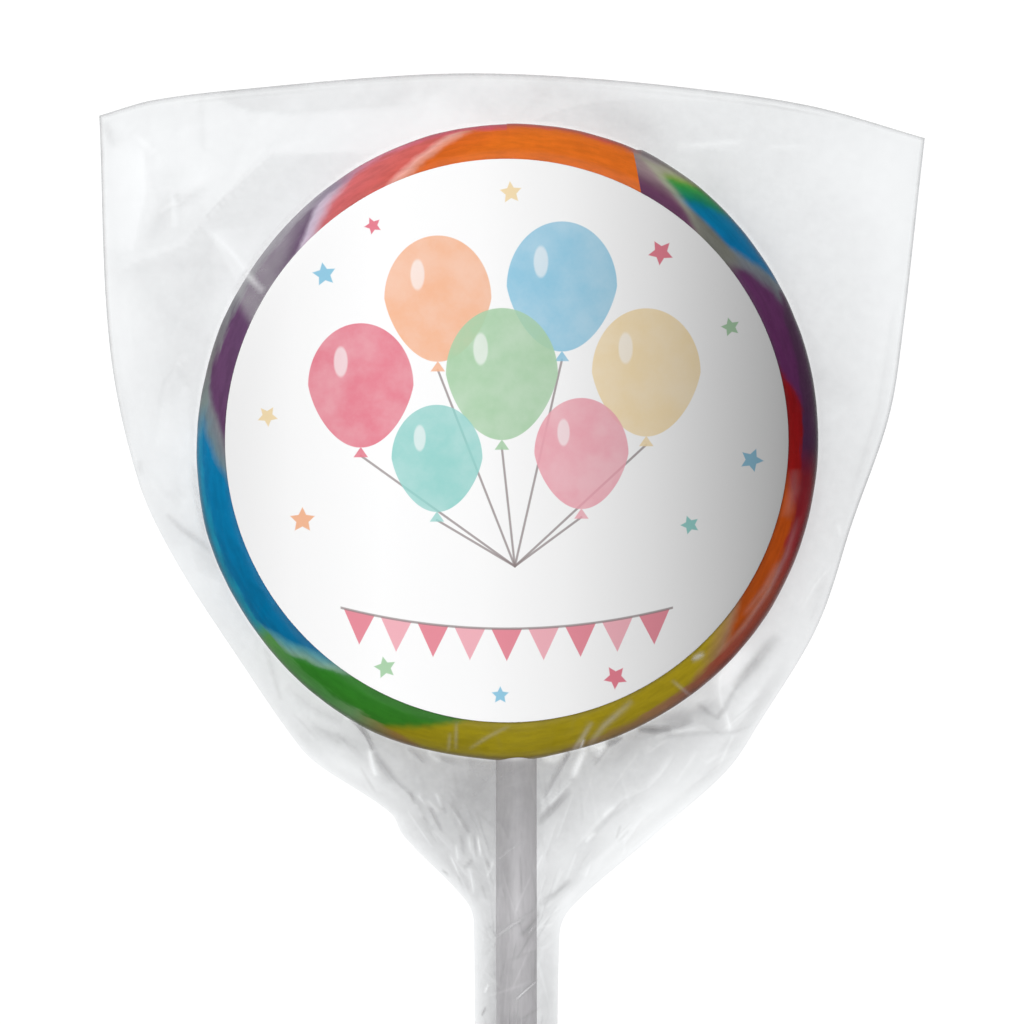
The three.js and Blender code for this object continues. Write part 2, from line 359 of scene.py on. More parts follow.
def clock_of(x, y):
    """The clock angle of a place, seen from the candy's middle."""
    return np.degrees(np.arctan2(x, y)) % 360


def bell(distance, half_width):
    """1 at a distance of 0, falling to about a third at a half width."""
    return np.exp(-(distance / half_width) ** 2)


def rim_radius(x, y):
    """Distance from the candy's middle to the rim of its oval, on the way to a place."""
    turned = np.arctan2(x, y) - math.radians(CANDY_TURN)
    return 1 / np.hypot(np.sin(turned) / CANDY_SHORT, np.cos(turned) / CANDY_LONG)


def face_radius(x, y):
    """Distance from the candy's middle to where its flat face ends, on the way to a place."""
    return rim_radius(x, y) - HALF_THICKNESS


def crown(reach):
    """Rise of the upper face at a share of the way from its middle to its edge."""
    return FACE_CROWN * (1 - np.minimum(reach, 1) ** 2) ** 2


def side_distance(x, y):
    """How far a place lies from the nearer of the bag's two sides."""
    return np.minimum(x - left_edge(y), right_edge(y) - x)


def to_edge(x, y):
    """How far a place lies inside the bag's outline."""
    return np.maximum(np.minimum(side_distance(x, y), upper_edge(x) - y), 0)


def stretched(bend, outside, inside):
    """Rise of a film stretched from a round bend to the bag's edge."""
    whole = np.maximum(outside + inside, bend * MIN_REACH)
    on_bend = np.sqrt(np.maximum(bend * bend - outside * outside, 0))
    straight = bend * inside / whole / np.sqrt(1 - (bend / whole) ** 2)
    return np.where(outside <= 0, bend, np.where(outside < bend * bend / whole, on_bend, straight))


def film_rise(x, y):
    """How far the film stands from the plane of its seam, before its folds."""
    inside = to_edge(x, y)
    over_candy = stretched(RIM_BEND, np.hypot(x, y) - face_radius(x, y), inside)
    over_stick = np.where(y < 0, stretched(SLEEVE_RADIUS, np.abs(x - STICK_X), inside), 0)
    fillet = np.maximum(FILLET - np.abs(over_candy - over_stick), 0) ** 2 / (4 * FILLET)
    return np.maximum(over_candy, over_stick) + fillet * smooth(inside, 0, 2)


def seam_height(x, y):
    """Height of the seam round the bag and of the plane that runs on from it."""
    return MID_Z - CORNER_DROOP * smooth(np.hypot(x, y), *DROOP_REACH) * smooth(y, 0, DROOP_TO_Y)


def pleat_rise(x, y, shift):
    """Height of the pleats that fan out from the stick."""
    across, along = x - GATHER[0], y - GATHER[1]
    turn = np.arctan2(across, np.maximum(along, 1)) / np.pi
    large = 0.5 + 0.5 * np.cos(2 * np.pi * (PLEATS * turn + shift))
    off_candy = smooth(np.hypot(x, y) - CANDY_LONG, 0, PLEAT_OFF_CANDY)
    reach = smooth(np.hypot(across, along), *PLEAT_START)
    off_side = smooth(side_distance(x, y), 0, PLEAT_OFF_SIDE)
    return PLEAT_RISE * large * off_candy * reach * off_side * smooth(-y, *PLEAT_BELOW)


def along_path(x, y, path):
    """How far places lie from a path, above 0 to its right, and which share of its length they lie along.

    The path is straight from point to point, which are given as X, Y, X, Y and so on."""
    points = np.array(path, float).reshape(-1, 2)
    steps = np.diff(points, axis=0)
    lengths = np.hypot(*steps.T)
    nearest = np.full_like(x, np.inf)
    share = np.zeros_like(x)
    for start, step, length, before in zip(points, steps, lengths, np.cumsum(lengths) - lengths):
        dx, dy = x - start[0], y - start[1]
        along = np.clip((dx * step[0] + dy * step[1]) / length, 0, length)
        away = np.hypot(dx - along * step[0] / length, dy - along * step[1] / length)
        nearer = away < np.abs(nearest)
        nearest = np.where(nearer, np.where(dx * step[1] < dy * step[0], -away, away), nearest)
        share = np.where(nearer, (before + along) / lengths.sum(), share)
    return nearest, share


class Sheet:
    """The height of a film's folds, the tone and glint of their lines, and the painted shade that each facet
    and patch gives it, at each place.
    """

    def __init__(self, x, y):
        self.x, self.y = x, y
        self.pitch = np.gradient(x, axis=1)
        self.height = np.zeros_like(x)
        self.tone = np.zeros_like(x)
        self.glint = np.zeros_like(x)
        self.painted_shade = np.zeros_like(x)

    def fold(self, path, width, height, tone=0.0, line=0.16, glint=0.0):
        """A sharp ridge along a path, or a valley where its height is below 0, and its line. Both taper.

        The line is milky, or clear where its tone is below 0, and white where it has a glint. Besides the
        crease, it is painted shade where milky and a painted highlight where clear or white."""
        away, share = along_path(self.x, self.y, path)
        taper = 4 * share * (1 - share)
        self.height += height * taper * np.exp(-np.abs(away) / width)
        if tone:
            # A line is drawn no thinner than the points can show, and then fainter.
            shown = np.hypot(line, 0.7 * self.pitch)
            drawn = np.sqrt(taper) * bell(away, shown) * line / shown
            self.tone += tone * drawn
            self.glint += glint * drawn

    def facet(self, path, tone, fade):
        """Painted shade on a facet to the right of a path, which fades out away from it."""
        away, share = along_path(self.x, self.y, path)
        ends = smooth(share, 0, 0.15) * (1 - smooth(share, 0.85, 1))
        self.painted_shade += tone * ends * smooth(away, 0, 0.35) * bell(away, fade)

    def patch(self, middle, clock, half_length, half_width, tone):
        """A soft patch of painted shade on the film, whose longer axis points at a clock angle."""
        heading = math.radians(clock)
        dx, dy = self.x - middle[0], self.y - middle[1]
        along = dx * math.sin(heading) + dy * math.cos(heading)
        across = dx * math.cos(heading) - dy * math.sin(heading)
        self.painted_shade += tone * np.exp(-(along / half_length) ** 2 - (across / half_width) ** 2)


# The film's clearest folds: each one's path, width and height, its line's tone and half width, and any glint.
# A line stands partly for a crease and partly for painted shade where it is milky and painted highlight where
# it is clear, and a glint is a painted highlight.
FOLDS = [
    # Below the candy, left of the stick.
    ([-19.8, -34, -18.4, -35.2, -17.3, -36.6, -16.5, -38.4], 0.4, 0.15, 1.1, 0.09),
    ([-16.4, -38.5, -14.2, -41.5, -11.4, -44.4], 0.5, 0.2, 0.22, 0.14),
    ([-16.8, -37.6, -15.9, -39.6, -14, -42.4], 0.8, 0.25, 0.15, 0.4),
    ([-17, -38.2, -16.7, -39.8, -16.2, -41.6], 0.4, -0.2, -0.4, 0.2),
    ([-20.2, -34.2, -18.7, -34.5, -17.7, -35.4], 0.3, 0.1, -0.3, 0.16),
    ([-30, -25.4, -28.8, -29.5, -28, -32.3], 0.6, -0.2, 0.1, 0.2),
    ([-27.4, -30.4, -24, -33.2, -20.3, -35], 1.2, 0.3, 0.07, 0.5),
    ([-24.6, -35.5, -21, -37, -17.2, -38.2], 1.2, -0.3, 0.12, 0.7),
    ([-21.5, -35.9, -19, -38, -17.2, -39.8], 0.6, 0.2, 0.05, 0.25),
    ([-12.3, -38.1, -11.2, -38.9, -10.2, -39.9], 0.4, 0.2, 0.25, 0.15),
    ([-9.4, -38.8, -8, -39.4, -6.4, -40], 0.4, 0.2, 0.18, 0.16),
    ([-10, -38.6, -8.1, -39.7], 0.3, -0.1, -0.22, 0.28),
    ([-12, -39.4, -10.8, -41.5, -9.9, -43.6], 0.8, 0.2, 0.08, 0.3),
    ([-12, -43.4, -11.3, -45.1], 0.4, 0.2, 0.22, 0.16),
    ([-12.9, -42.5, -11.2, -44.6, -9.7, -47.5], 0.6, -0.2, 0.1, 0.22),
    ([-10.7, -43.9, -9.3, -45.8, -7.9, -48.6], 0.4, 0.25, 0.24, 0.16),
    ([-11, -43.8, -9.5, -45.5], 0.3, -0.15, -0.24, 0.17),
    ([-9.8, -44.3, -8.4, -46.3], 0.3, -0.15, -0.17, 0.17),
    ([-8.9, -43.5, -7.9, -45.4], 0.3, 0.15, -0.24, 0.2),
    ([-8.4, -44.2, -7.5, -46.1], 0.3, -0.15, 0.14, 0.13),
    ([-7.1, -44.7, -5.9, -46.6, -4.6, -48.7], 0.4, 0.2, 0.22, 0.16),
    ([-6.6, -45.9, -5.5, -47.7], 0.3, -0.15, -0.18, 0.16),
    ([-10.5, -46.5, -9.1, -48.3], 0.4, 0.15, 0.12, 0.2), ([-4.7, -48.7, -4.4, -51.1], 0.4, 0.2, -0.14, 0.3),
    ([-3.6, -48.9, -3.2, -51.5], 0.3, 0.15, -0.18, 0.15),
    ([-4, -48.8, -3.7, -51.6], 0.3, -0.15, 0.12, 0.15), ([-5.8, -48.8, -5.3, -51.4], 0.3, 0.15, 0.12, 0.14),
    ([-6.3, -49.9, -6, -52.1], 0.3, -0.15, -0.16, 0.2), ([-4.2, -51.8, -5.3, -53], 0.3, 0.15, 0.14, 0.2),
    ([-1.7, -52, -2.4, -54.1], 0.3, 0.15, -0.2, 0.15), ([-2.5, -51.9, -2, -53.2], 0.3, -0.15, 0.17, 0.15),
    ([-8, -53.2, -7.2, -53.9], 0.3, 0.1, 0.2, 0.14), ([-7.1, -51.3, -5.9, -54.1], 0.4, 0.15, -0.13, 0.2),
    ([-4.6, -52.9, -4.2, -56.2], 0.4, 0.2, -0.13, 0.3),
    # Below the candy, right of the stick.
    ([7.8, -38.4, 7, -39.9, 5.8, -42, 4.5, -44.4], 0.6, -0.3, 0.3, 0.16),
    ([7.9, -38.3, 7, -39.9], 0.4, -0.1, 0.35, 0.14),
    ([14.3, -36.6, 12.6, -37.7, 11.9, -38.7, 10.7, -40.2], 0.6, -0.3, 0.34, 0.15),
    ([14.4, -36.6, 12.4, -37.9], 0.4, -0.1, 0.35, 0.15),
    ([4.3, -39.3, 5.8, -39.5, 7.5, -38.7], 0.5, 0.1, -0.24, 0.4),
    ([9.9, -38, 9, -39.8, 8.1, -41.8], 0.5, 0.3, -0.35, 0.38),
    ([10.2, -38.2, 12.2, -37.8, 11.1, -39.2], 0.4, 0.1, -0.35, 0.35),
    ([4, -47.5, 5.8, -45.6, 7.9, -43.3], 0.6, -0.3, 0.22, 0.3),
    ([4.3, -45.9, 6.3, -43.8, 8.1, -41.9], 0.4, 0.25, -0.24, 0.18),
    ([4.1, -44.9, 5.7, -43.1], 0.3, 0.15, -0.17, 0.16), ([5.3, -45.3, 7.1, -43.3], 0.3, 0.15, -0.14, 0.14),
    ([8.5, -50.3, 11.8, -46.8, 14.4, -44.3, 17.7, -42.8], 0.8, 0.15, -0.1, 0.16),
    ([17.3, -43, 19, -41.3, 20.8, -38.6], 0.7, 0.15, -0.14, 0.16),
    ([11.9, -46.7, 13.5, -45.3], 0.4, 0.15, -0.15, 0.25),
    ([9.8, -49.7, 11.1, -48.5], 0.4, 0.15, -0.2, 0.17),
    ([10.3, -49.4, 13.2, -46.6, 15.9, -44.6], 0.6, -0.2, 0.06, 0.22),
    ([16.2, -35.8, 18.4, -35.9, 20.4, -35.7], 0.8, -0.3, 0.5, 0.3),
    ([19.4, -35.8, 21.4, -35.3, 23.2, -34.6], 0.8, -0.3, 0.25, 0.25),
    ([23.5, -32.5, 25, -33.7, 26.4, -34.5], 0.5, 0.2, 0.2, 0.2),
    ([26.2, -34.5, 26.8, -33.2], 0.4, 0.15, 0.18, 0.2),
    ([33.6, -24, 31, -27.4, 28.2, -30.8], 1.1, -0.4, 0.2, 0.6),
    ([31.2, -27, 28.7, -30.1], 0.5, -0.1, 0.1, 0.2),
    ([28.8, -30, 27.4, -32.4, 26.8, -34], 0.6, 0.3, 0.16, 0.2),
    ([26.5, -28.8, 26.3, -30.8, 26.6, -33], 0.4, 0.1, -0.12, 0.18),
    ([27.2, -33.5, 27.7, -36], 0.4, 0.2, -0.16, 0.25),
    ([17.5, -37.9, 19.8, -36.7, 24, -36.2, 28.4, -36.2, 30.5, -35.2], 0.8, 0.3, 0.1, 0.2),
    ([19.8, -37, 17, -38.7], 0.4, 0.2, -0.13, 0.25), ([20.4, -36.1, 24.6, -35.1], 0.4, 0.2, -0.1, 0.22),
    ([3.9, -57.5, 6, -56.3, 8.1, -54.5], 0.7, -0.3, 0.16, 0.4),
    # Along the stick.
    ([-1.6, -61.6, 0.6, -60, 3.7, -57.9], 0.5, 0.25, 0.2, 0.28, 0.5),
    ([1.6, -61.2, 3, -59.8, 4, -58.4], 0.5, -0.2, 0.2, 0.3),
    ([2.6, -61, 3.9, -59.5], 0.3, 0.1, 0.12, 0.14, 0.5),
    ([-1.4, -52.1, 0.3, -50.6, 1.9, -49.6], 0.3, 0.15, 0.1, 0.14, 0.3),
    ([1, -69.2, 2.2, -68.1, 3.8, -66.8], 0.4, 0.25, 0.5, 0.14, 1),
    ([-2.8, -68.4, -2.2, -67.3], 0.3, 0.15, -0.2, 0.16), ([-3.1, -71.3, -2.6, -70.2], 0.3, 0.15, 0.2, 0.14),
    # Over the candy.
    ([8.1, -38.4, 9.4, -36.6, 10.6, -34.6], 0.5, 0.2, 0.22, 0.3, 0.3),
    ([10.1, -37.6, 12, -35.2, 15.6, -32], 0.5, 0.2, 0.2, 0.38, 0.3),
    ([9, -38.2, 9.6, -36.8], 0.3, 0.1, 0.4, 0.13, 1),
    ([-6.2, -34.6, -6.3, -38.2], 0.4, 0.15, 0.14, 0.2, 0.3),
    ([-7, -36, -7.2, -38.4], 0.4, 0.15, 0.12, 0.2, 0.3),
    ([-4.7, -38.1, -2.2, -36.5, 0.5, -35.1], 0.5, 0.2, 0.14, 0.22, 0.3),
    ([20.3, -29.5, 22.8, -31.6], 0.4, 0.15, 0.24, 0.15, 0.5),
    ([-32.4, 20.9, -31.4, 19.8, -30, 18.3], 0.6, 0.2, 0.34, 0.34, 0.5),
    ([35.6, -3.4, 35.4, -6.2, 34.4, -9.6], 0.5, 0.1, 0.08, 0.7, 0.2),
    ([36, -9.4, 34.6, -13.9, 32.3, -18.6, 29.3, -22.9, 26.3, -26.3], 0.5, 0.1, 0.14, 0.28, 0.3),
    ([33.6, -14.8, 31.8, -18.2, 29.2, -21.6], 0.5, 0.1, 0.1, 0.28, 0.3),
    ([22.8, -27, 24.4, -26.3], 0.4, 0.1, 0.4, 0.34, 0.6),
    ([-38.7, -2.9, -38.5, -6.1, -37.4, -11.8], 0.4, 0.2, 0.4, 0.2, 0.7),
    # The upper left corner.
    ([-37.8, 43.2, -37.9, 39.5, -37.6, 36], 0.8, 0.35, 0.04, 0.3),
    ([-37.2, 43.2, -37.3, 39.5, -37, 36], 0.8, -0.2, -0.035, 0.35),
    ([-46.6, 38.5, -45, 36.9, -43.8, 35.7], 0.6, 0.3, -0.04, 0.5),
    ([-50.1, 39.8, -49.5, 38.4, -48.9, 36.6], 0.6, 0.2, 0.1, 0.35),
    ([-36.8, 26.2, -34.2, 23.4, -31.9, 20.6], 0.7, 0.3, -0.06, 0.35),
    ([-41.6, 31.2, -41.5, 29, -41.2, 26.4], 0.5, 0.3, -0.05, 0.3),
    ([-43.3, 27.9, -41.4, 29.3, -39.4, 29.6], 0.5, -0.3, -0.04, 0.3),
    ([-41.2, 30.6, -40.4, 29.6], 0.4, 0.2, 0.06, 0.3),
    # Along the left side.
    ([-42.2, -9, -40.2, -11, -38.2, -12.4, -36.6, -13.8], 0.6, 0.3, 0.24, 0.17),
    ([-48.9, 14, -47.3, 4, -46.1, -2], 0.5, 0.2, 0.045, 0.2),
    ([-45.6, -2.4, -45.2, -4.4], 0.5, 0.2, 0.07, 0.35),
    ([-43, 4, -42.2, 7.2, -41, 8.9, -39.9, 7.6], 0.8, 0.25, 0.03, 0.35),
    # Along the right side.
    ([48.2, 17, 47.1, 9, 46.3, 4, 44.6, -1.5, 42.6, -7.4], 0.6, 0.3, 0.06, 0.22),
    ([40.8, -9.8, 41.6, -11.8], 0.5, 0.3, -0.06, 0.4),
    ([40.2, -15.2, 38.2, -17.8, 36.4, -21], 0.7, 0.3, -0.05, 0.5),
    ([39.8, -16.4, 38.6, -19.4, 37.6, -22.4], 0.6, -0.2, 0.05, 0.2),
    # Streaks at the upper right.
    ([20.6, 36.5, 24.6, 36.8, 28.2, 37.1, 29.6, 37.2], 0.6, 0.25, -0.075, 0.45),
    ([31.8, 36.4, 34.6, 36.6, 37.4, 36.7], 0.6, 0.2, -0.03, 0.4),
]
# Painted shade of the film: each facet's edge, with the facet to the right of it, its tone and how far it
# reaches. A tone below 0 paints light.
PAINTED_FACETS = [
    ([-39, 26.6, -35, 30.4, -29, 35.7, -14, 35.9], 0.055, 9),
    ([-10, 41.5, -20, 40.9, -27, 40.3, -32.5, 40.9, -38, 43.2], 0.05, 5),
    ([-49, 20.6, -46, 22.4, -40.5, 24.2, -38, 27, -36.2, 25, -32.6, 18.4], 0.045, 11),
    ([-44.9, 37.6, -44.6, 31, -46.4, 22.6], -0.035, 3), ([-39.2, -12, -38.2, -16, -34.6, -17.8], -0.03, 3),
    ([-44, -2, -42.9, 4.6, -41.2, 8.8, -39.4, 6.6, -38.8, -3], -0.03, 3),
    ([27.4, -37.4, 24.6, -35.6, 20, -36, 15, -38], 0.07, 1.6), ([26.3, -34.6, 26.3, -25], -0.05, 3),
]
# Soft patches of painted shade on it, or of painted light where the tone is below 0: each one's middle,
# the clock angle of its longer axis, its half sizes and its tone.
PAINTED_PATCHES = [
    ((3, 41.4), 80, 6, 2.4, 0.06), ((12, 41), 100, 7, 2.6, 0.05), ((-43.3, 27.2), 28, 2.8, 0.9, 0.05),
    ((-38.7, 30.6), 58, 2.2, 0.6, 0.05), ((-38.6, 14), 10, 9, 2.6, 0.04), ((-41.5, 8), 6, 11, 5, 0.035),
    ((16, 39), 120, 5, 2.2, 0.06), ((26, 31.5), 160, 4.5, 2, 0.035), ((31, 25.5), 145, 5, 1.6, 0.03),
    ((40, 7.4), 120, 3.5, 1.5, 0.035), ((-37.3, -14.4), 140, 2.6, 1.3, 0.05),
    ((28.2, -28), 38, 3.4, 1.2, -0.12), ((21.8, -34.1), 75, 3.2, 0.9, 0.16),
    ((24.7, -33), 60, 1.2, 0.7, 0.1), ((15, -38.3), 62, 3.2, 1.1, 0.08), ((-5, -44.5), 15, 5, 2.6, 0.06),
    ((-3.6, -50.4), 0, 3, 1.6, -0.06), ((-20.5, -40.5), 115, 5, 1.1, -0.06),
    ((-3.4, -44.5), 0, 4.5, 1.6, 0.05), ((-18.5, -39), 130, 6.5, 2.6, -0.05),
    ((6.6, -44), 20, 4.5, 2, 0.045), ((18, -46.5), 50, 7.5, 3.4, -0.06), ((43, 33), 140, 7, 5, -0.03),
    ((1, -57), 0, 4.5, 2.4, -0.1), ((1, -44), 0, 2.6, 2.4, 0.08), ((5.2, -70), 0, 9, 1.3, 0.1),
    ((5.2, -92), 0, 16, 1.3, 0.1), ((-3.5, 42.3), 90, 4, 2, 0.04), ((-38, 32.4), 0, 2.6, 2.6, -0.03),
    ((26.5, -32.4), 0, 2.2, 2, 0.05), ((11.6, -47), 50, 2.6, 2.2, -0.035), ((7, -57), 0, 2.4, 1.6, -0.03),
]


def beyond(place, heading, away):
    """The place at a distance from another, with its heading in radians clockwise from +Y."""
    return np.array([place[0] + away * np.sin(heading), place[1] + away * np.cos(heading)])


def heading_line(middle, heading, half):
    """The two ends of a line of a half length through a place."""
    return [beyond(middle, heading, -half), beyond(middle, heading, half)]


def crumple(sheet, seed):
    """Chance folds of stiff film, each kind with its number, its places and its sizes."""
    draw = np.random.default_rng(seed)

    def either_way(low, high):
        return draw.choice([-1, 1]) * draw.uniform(low, high)

    # Creases of the fan, which run roughly towards the gather.
    for _ in range(140):
        heading = draw.uniform(-1.1, 1.1)
        middle = beyond(GATHER, heading, draw.uniform(4, 34) / np.cos(heading))
        path = heading_line(middle, heading + draw.normal(0, 0.3), draw.uniform(0.8, 3.5))
        sheet.fold(path, draw.uniform(0.25, 0.7), either_way(0.04, 0.16), draw.normal(0, 0.1), 0.14)
    # Broad waves round the candy.
    for _ in range(40):
        heading = draw.uniform(0, 2 * np.pi)
        middle = beyond((0, 0), heading, draw.uniform(41, 62))
        path = heading_line(middle, heading + either_way(0.2, 1.2), draw.uniform(6, 16))
        sheet.fold(path, draw.uniform(3, 7), draw.uniform(-0.9, 0.9))
    # Small folds round the candy.
    for _ in range(110):
        heading = draw.uniform(0, 2 * np.pi)
        middle = beyond((0, 0), heading, draw.uniform(37, 60))
        path = heading_line(middle, heading + draw.normal(0, 0.9), draw.uniform(1.5, 7))
        sheet.fold(path, draw.uniform(0.6, 2.4), either_way(0.04, 0.22), draw.normal(0, 0.02), 0.35)
    # Creases of the sleeve.
    for _ in range(80):
        middle = (draw.uniform(-4, 6), draw.uniform(-103, -60))
        path = heading_line(middle, draw.normal(0.2, 0.5), draw.uniform(0.8, 4))
        sheet.fold(path, draw.uniform(0.2, 0.6), either_way(0.02, 0.1), draw.normal(0, 0.07), 0.18)


def folded_sheet(x, y, side):
    """All of a film's folds, which fade out where it lies tight on the candy and at its seams."""
    outside = np.hypot(x, y) - face_radius(x, y)
    inside = to_edge(x, y)
    chance_seed, pleat_shift = (7, 0) if side > 0 else (8, 0.5)
    sheet = Sheet(x, y)
    crumple(sheet, chance_seed)
    # It is loose from the candy's rim on, and calmer to the right of the candy.
    calm = smooth(clock_of(x, y), 5, 25) * (1 - smooth(clock_of(x, y), 115, 140))
    loose = (0.12 + 0.88 * smooth(outside, 3.5, 7)) * smooth(inside, 0, 3) * (1 - 0.7 * calm)
    sheet.height = sheet.height * loose + pleat_rise(x, y, pleat_shift)
    sheet.tone *= loose
    # Both sheets are gathered into the same clear folds.
    clear = Sheet(x, y)
    for fold in FOLDS:
        clear.fold(*fold)
    for facet in PAINTED_FACETS:
        clear.facet(*facet)
    for patch in PAINTED_PATCHES:
        clear.patch(*patch)
    off_seam = smooth(inside, 0, 0.8)
    off_label = np.hypot(x, y) - LABEL_RADIUS
    sheet.height += side * clear.height * off_seam * (0.3 + 0.7 * smooth(outside, 3.5, 6))
    sheet.height *= smooth(off_label, 0.2, 3)
    sheet.tone = (sheet.tone + clear.tone * off_seam) * smooth(off_label, 0, 0.5)
    sheet.glint = clear.glint * smooth(off_label, 0, 0.5)
    sheet.painted_shade = clear.painted_shade
    return sheet


def film_height(x, y, side, height=0):
    """Height of the upper film, side 1, or of the lower one, side -1, whose folds rise by a height."""
    rise = film_rise(x, y)
    # A fold never presses the film into what it covers.
    over_candy = np.hypot(x, y) - face_radius(x, y) < HALF_THICKNESS + 1
    rise = rise + np.maximum(height, -np.where(over_candy, 0.1, 0.4 * rise))
    if side > 0:
        rise = rise + crown(np.hypot(x, y) / face_radius(x, y))
    return np.maximum(seam_height(x, y) + side * rise, OFF_FLOOR)


def lean_of(x, y, height):
    """How much a folded sheet leans to the upper left, and how steep it is, each up to a limit."""
    along, across = np.gradient(height)
    (x_along, x_across), (y_along, y_across) = np.gradient(x), np.gradient(y)
    area = x_across * y_along - x_along * y_across
    slope_x = (across * y_along - along * y_across) / area
    slope_y = (along * x_across - across * x_along) / area
    return np.clip(slope_x * 0.7 - slope_y * 0.7, -0.25, 0.25), np.minimum(np.hypot(slope_x, slope_y), 0.8)


# How milky each sheet is where it is gathered below the candy: a Y, then the most that it is there to the
# left of the gather's line and to the right.
GATHERED = [
    (-104, 0.3, 0.06), (-66, 0.3, 0.06), (-60, 0.24, 0.05), (-52, 0.22, 0.08), (-47, 0.28, 0.15),
    (-42, 0.29, 0.2), (-37, 0.29, 0.27), (-32, 0.1, 0.06), (-25, 0, 0), (-15, 0, 0),
]
# X and Y along the edge of the upper film that curls in below the bag's upper edge, at the right.
CURL = [
    (2.8, 39.5), (5.2, 40.7), (8.2, 41.6), (11.1, 42.2), (17, 42.6), (29, 42.2), (40.8, 40.7), (51.4, 37.7),
]


def gathered_haze(x, y):
    """How milky the fan and the sleeve are: most at the gather's line, and clear at the bag's sides."""
    off_line = x - GATHER[0]
    right = smooth(off_line, -2, 2)
    width = np.where(off_line < 0, GATHER[0] - left_edge(y), right_edge(y) - GATHER[0])
    profile = np.maximum(1 - (np.abs(off_line) / np.maximum(width, 1)) ** (2.2 - 0.9 * right), 0)
    places, on_left, on_right = zip(*GATHERED)
    return (np.interp(y, places, on_left) * (1 - right) + np.interp(y, places, on_right) * right) * profile


def upper_edge_haze(x, y):
    """The pale line along the bag's upper edge and, at the right, the film that curls in."""
    line = bell(upper_edge(x) - y - 0.9, 0.13) * smooth(y, 30, 36) * smooth(-np.abs(x), -42, -34)
    below_curl = smooth(np.interp(x, *zip(*CURL)) - y, 0, 0.4) * smooth(x, 1, 5) * smooth(y, 12, 34)
    return 0.2 * line, (0.1 - 0.05 * smooth(x, 9, 16)) * below_curl * (1 - 0.6 * smooth(x, 26, 44))


def haze_of(sheet, side):
    """How milky and how white the film looks at each place: where it is folded, gathered or sealed, and where
    shade, a reflection and glints are painted on it.
    """
    x, y = sheet.x, sheet.y
    reach = np.hypot(x, y)
    off_candy = smooth(reach - rim_radius(x, y), -0.25, 0.35)
    # Painted shade: steep parts of the film are milkier, more so where they lean to the upper left, towards
    # the window lamp, and less where they lean away.
    lean, steepness = lean_of(x, y, sheet.height)
    haze = 0.004 + (0.03 + 0.15 * off_candy) * steepness ** 1.5 + (0.06 + 0.14 * off_candy) * lean
    base = 0.055 + 0.03 * smooth(x, 0, 30) * smooth(y, -35, -10) - 0.03 * smooth(x, 42, 49)
    # Near the candy the film is milkier, more so at its right and at its lower left: partly its steeper slope
    # there, partly a painted shadow of the candy.
    milk_and_shadow_near_candy = 0.02 + 0.045 * smooth(x, 0, 20) + 0.06 * smooth(-x, 20, 35) * smooth(-y, 0, 15)
    milk_and_shadow_near_candy = np.exp(-np.maximum(reach - 39, 0) / 5) * milk_and_shadow_near_candy
    haze = haze + (base + gathered_haze(x, y) + milk_and_shadow_near_candy + sheet.painted_shade) * off_candy + sheet.tone
    haze = haze + 0.3 * bell(to_edge(x, y), 0.16) * smooth(y + 0.3 * x, -26, 4)
    if side > 0:
        # On the candy's rim at the upper left the film is milkier: partly the film's milk and partly a
        # painted reflection of the window lamp, stronger where the film leans towards it.
        below_rim = rim_radius(x, y) - reach
        clock = clock_of(x, y)
        milk_and_reflection = smooth(clock + below_rim, 297, 300) * (1 - smooth(clock + below_rim * 5, 318, 334))
        haze = haze + milk_and_reflection * (1 - off_candy) * (0.34 + 0.9 * lean)
        line, curl = upper_edge_haze(x, y)
        haze = haze + line + curl * off_candy
    # The milk is whiter over the candy, and white where a fold has a painted glint.
    return np.clip(haze, 0, 1), np.clip(0.4 * (1 - off_candy) + sheet.glint, 0, 1)


def bag_grid(levels, columns):
    """X and Y of a grid over the bag, with a row of points for each level. The upper rows are bent."""
    level = levels[:, None]
    share = np.linspace(0, 1, columns + 1)[None, :]
    bent = np.clip((level - STRAIGHT_ROWS_TO_Y) / (BAG_TOP_Y - STRAIGHT_ROWS_TO_Y), 0, 1)

    def bent_to(top):
        return np.where(bent > 0, STRAIGHT_ROWS_TO_Y + bent * (top - STRAIGHT_ROWS_TO_Y), level)

    x = left_edge(bent_to(LEFT_EDGE[-1][0])) * (1 - share) + right_edge(bent_to(RIGHT_EDGE[-1][0])) * share
    return x, bent_to(upper_edge(x))


def make_film(name, side, levels, columns):
    """Part of the upper sheet of film, side 1, or of the lower one, side -1. They meet in the bag's seam."""
    x, y = bag_grid(levels, columns)
    sheet = folded_sheet(x, y, side)
    z = film_height(x, y, side, sheet.height)
    borders = [np.s_[:, 0], np.s_[:, -1]]
    if levels[-1] == BAG_TOP_Y:
        borders.append(np.s_[-1])
    for border in borders:
        z[border] = seam_height(x[border], y[border])
    points = np.stack([x, y, z], axis=2).reshape(-1, 3)
    made = mesh_object(name, points, grid_faces(len(levels) - 1, columns, turned=side < 0))
    haze, whiteness = haze_of(sheet, side)
    set_attribute(made, "haze", haze.ravel())
    set_attribute(made, "whiteness", whiteness.ravel())
    return made


# ---------------------------------------------------------------- candy

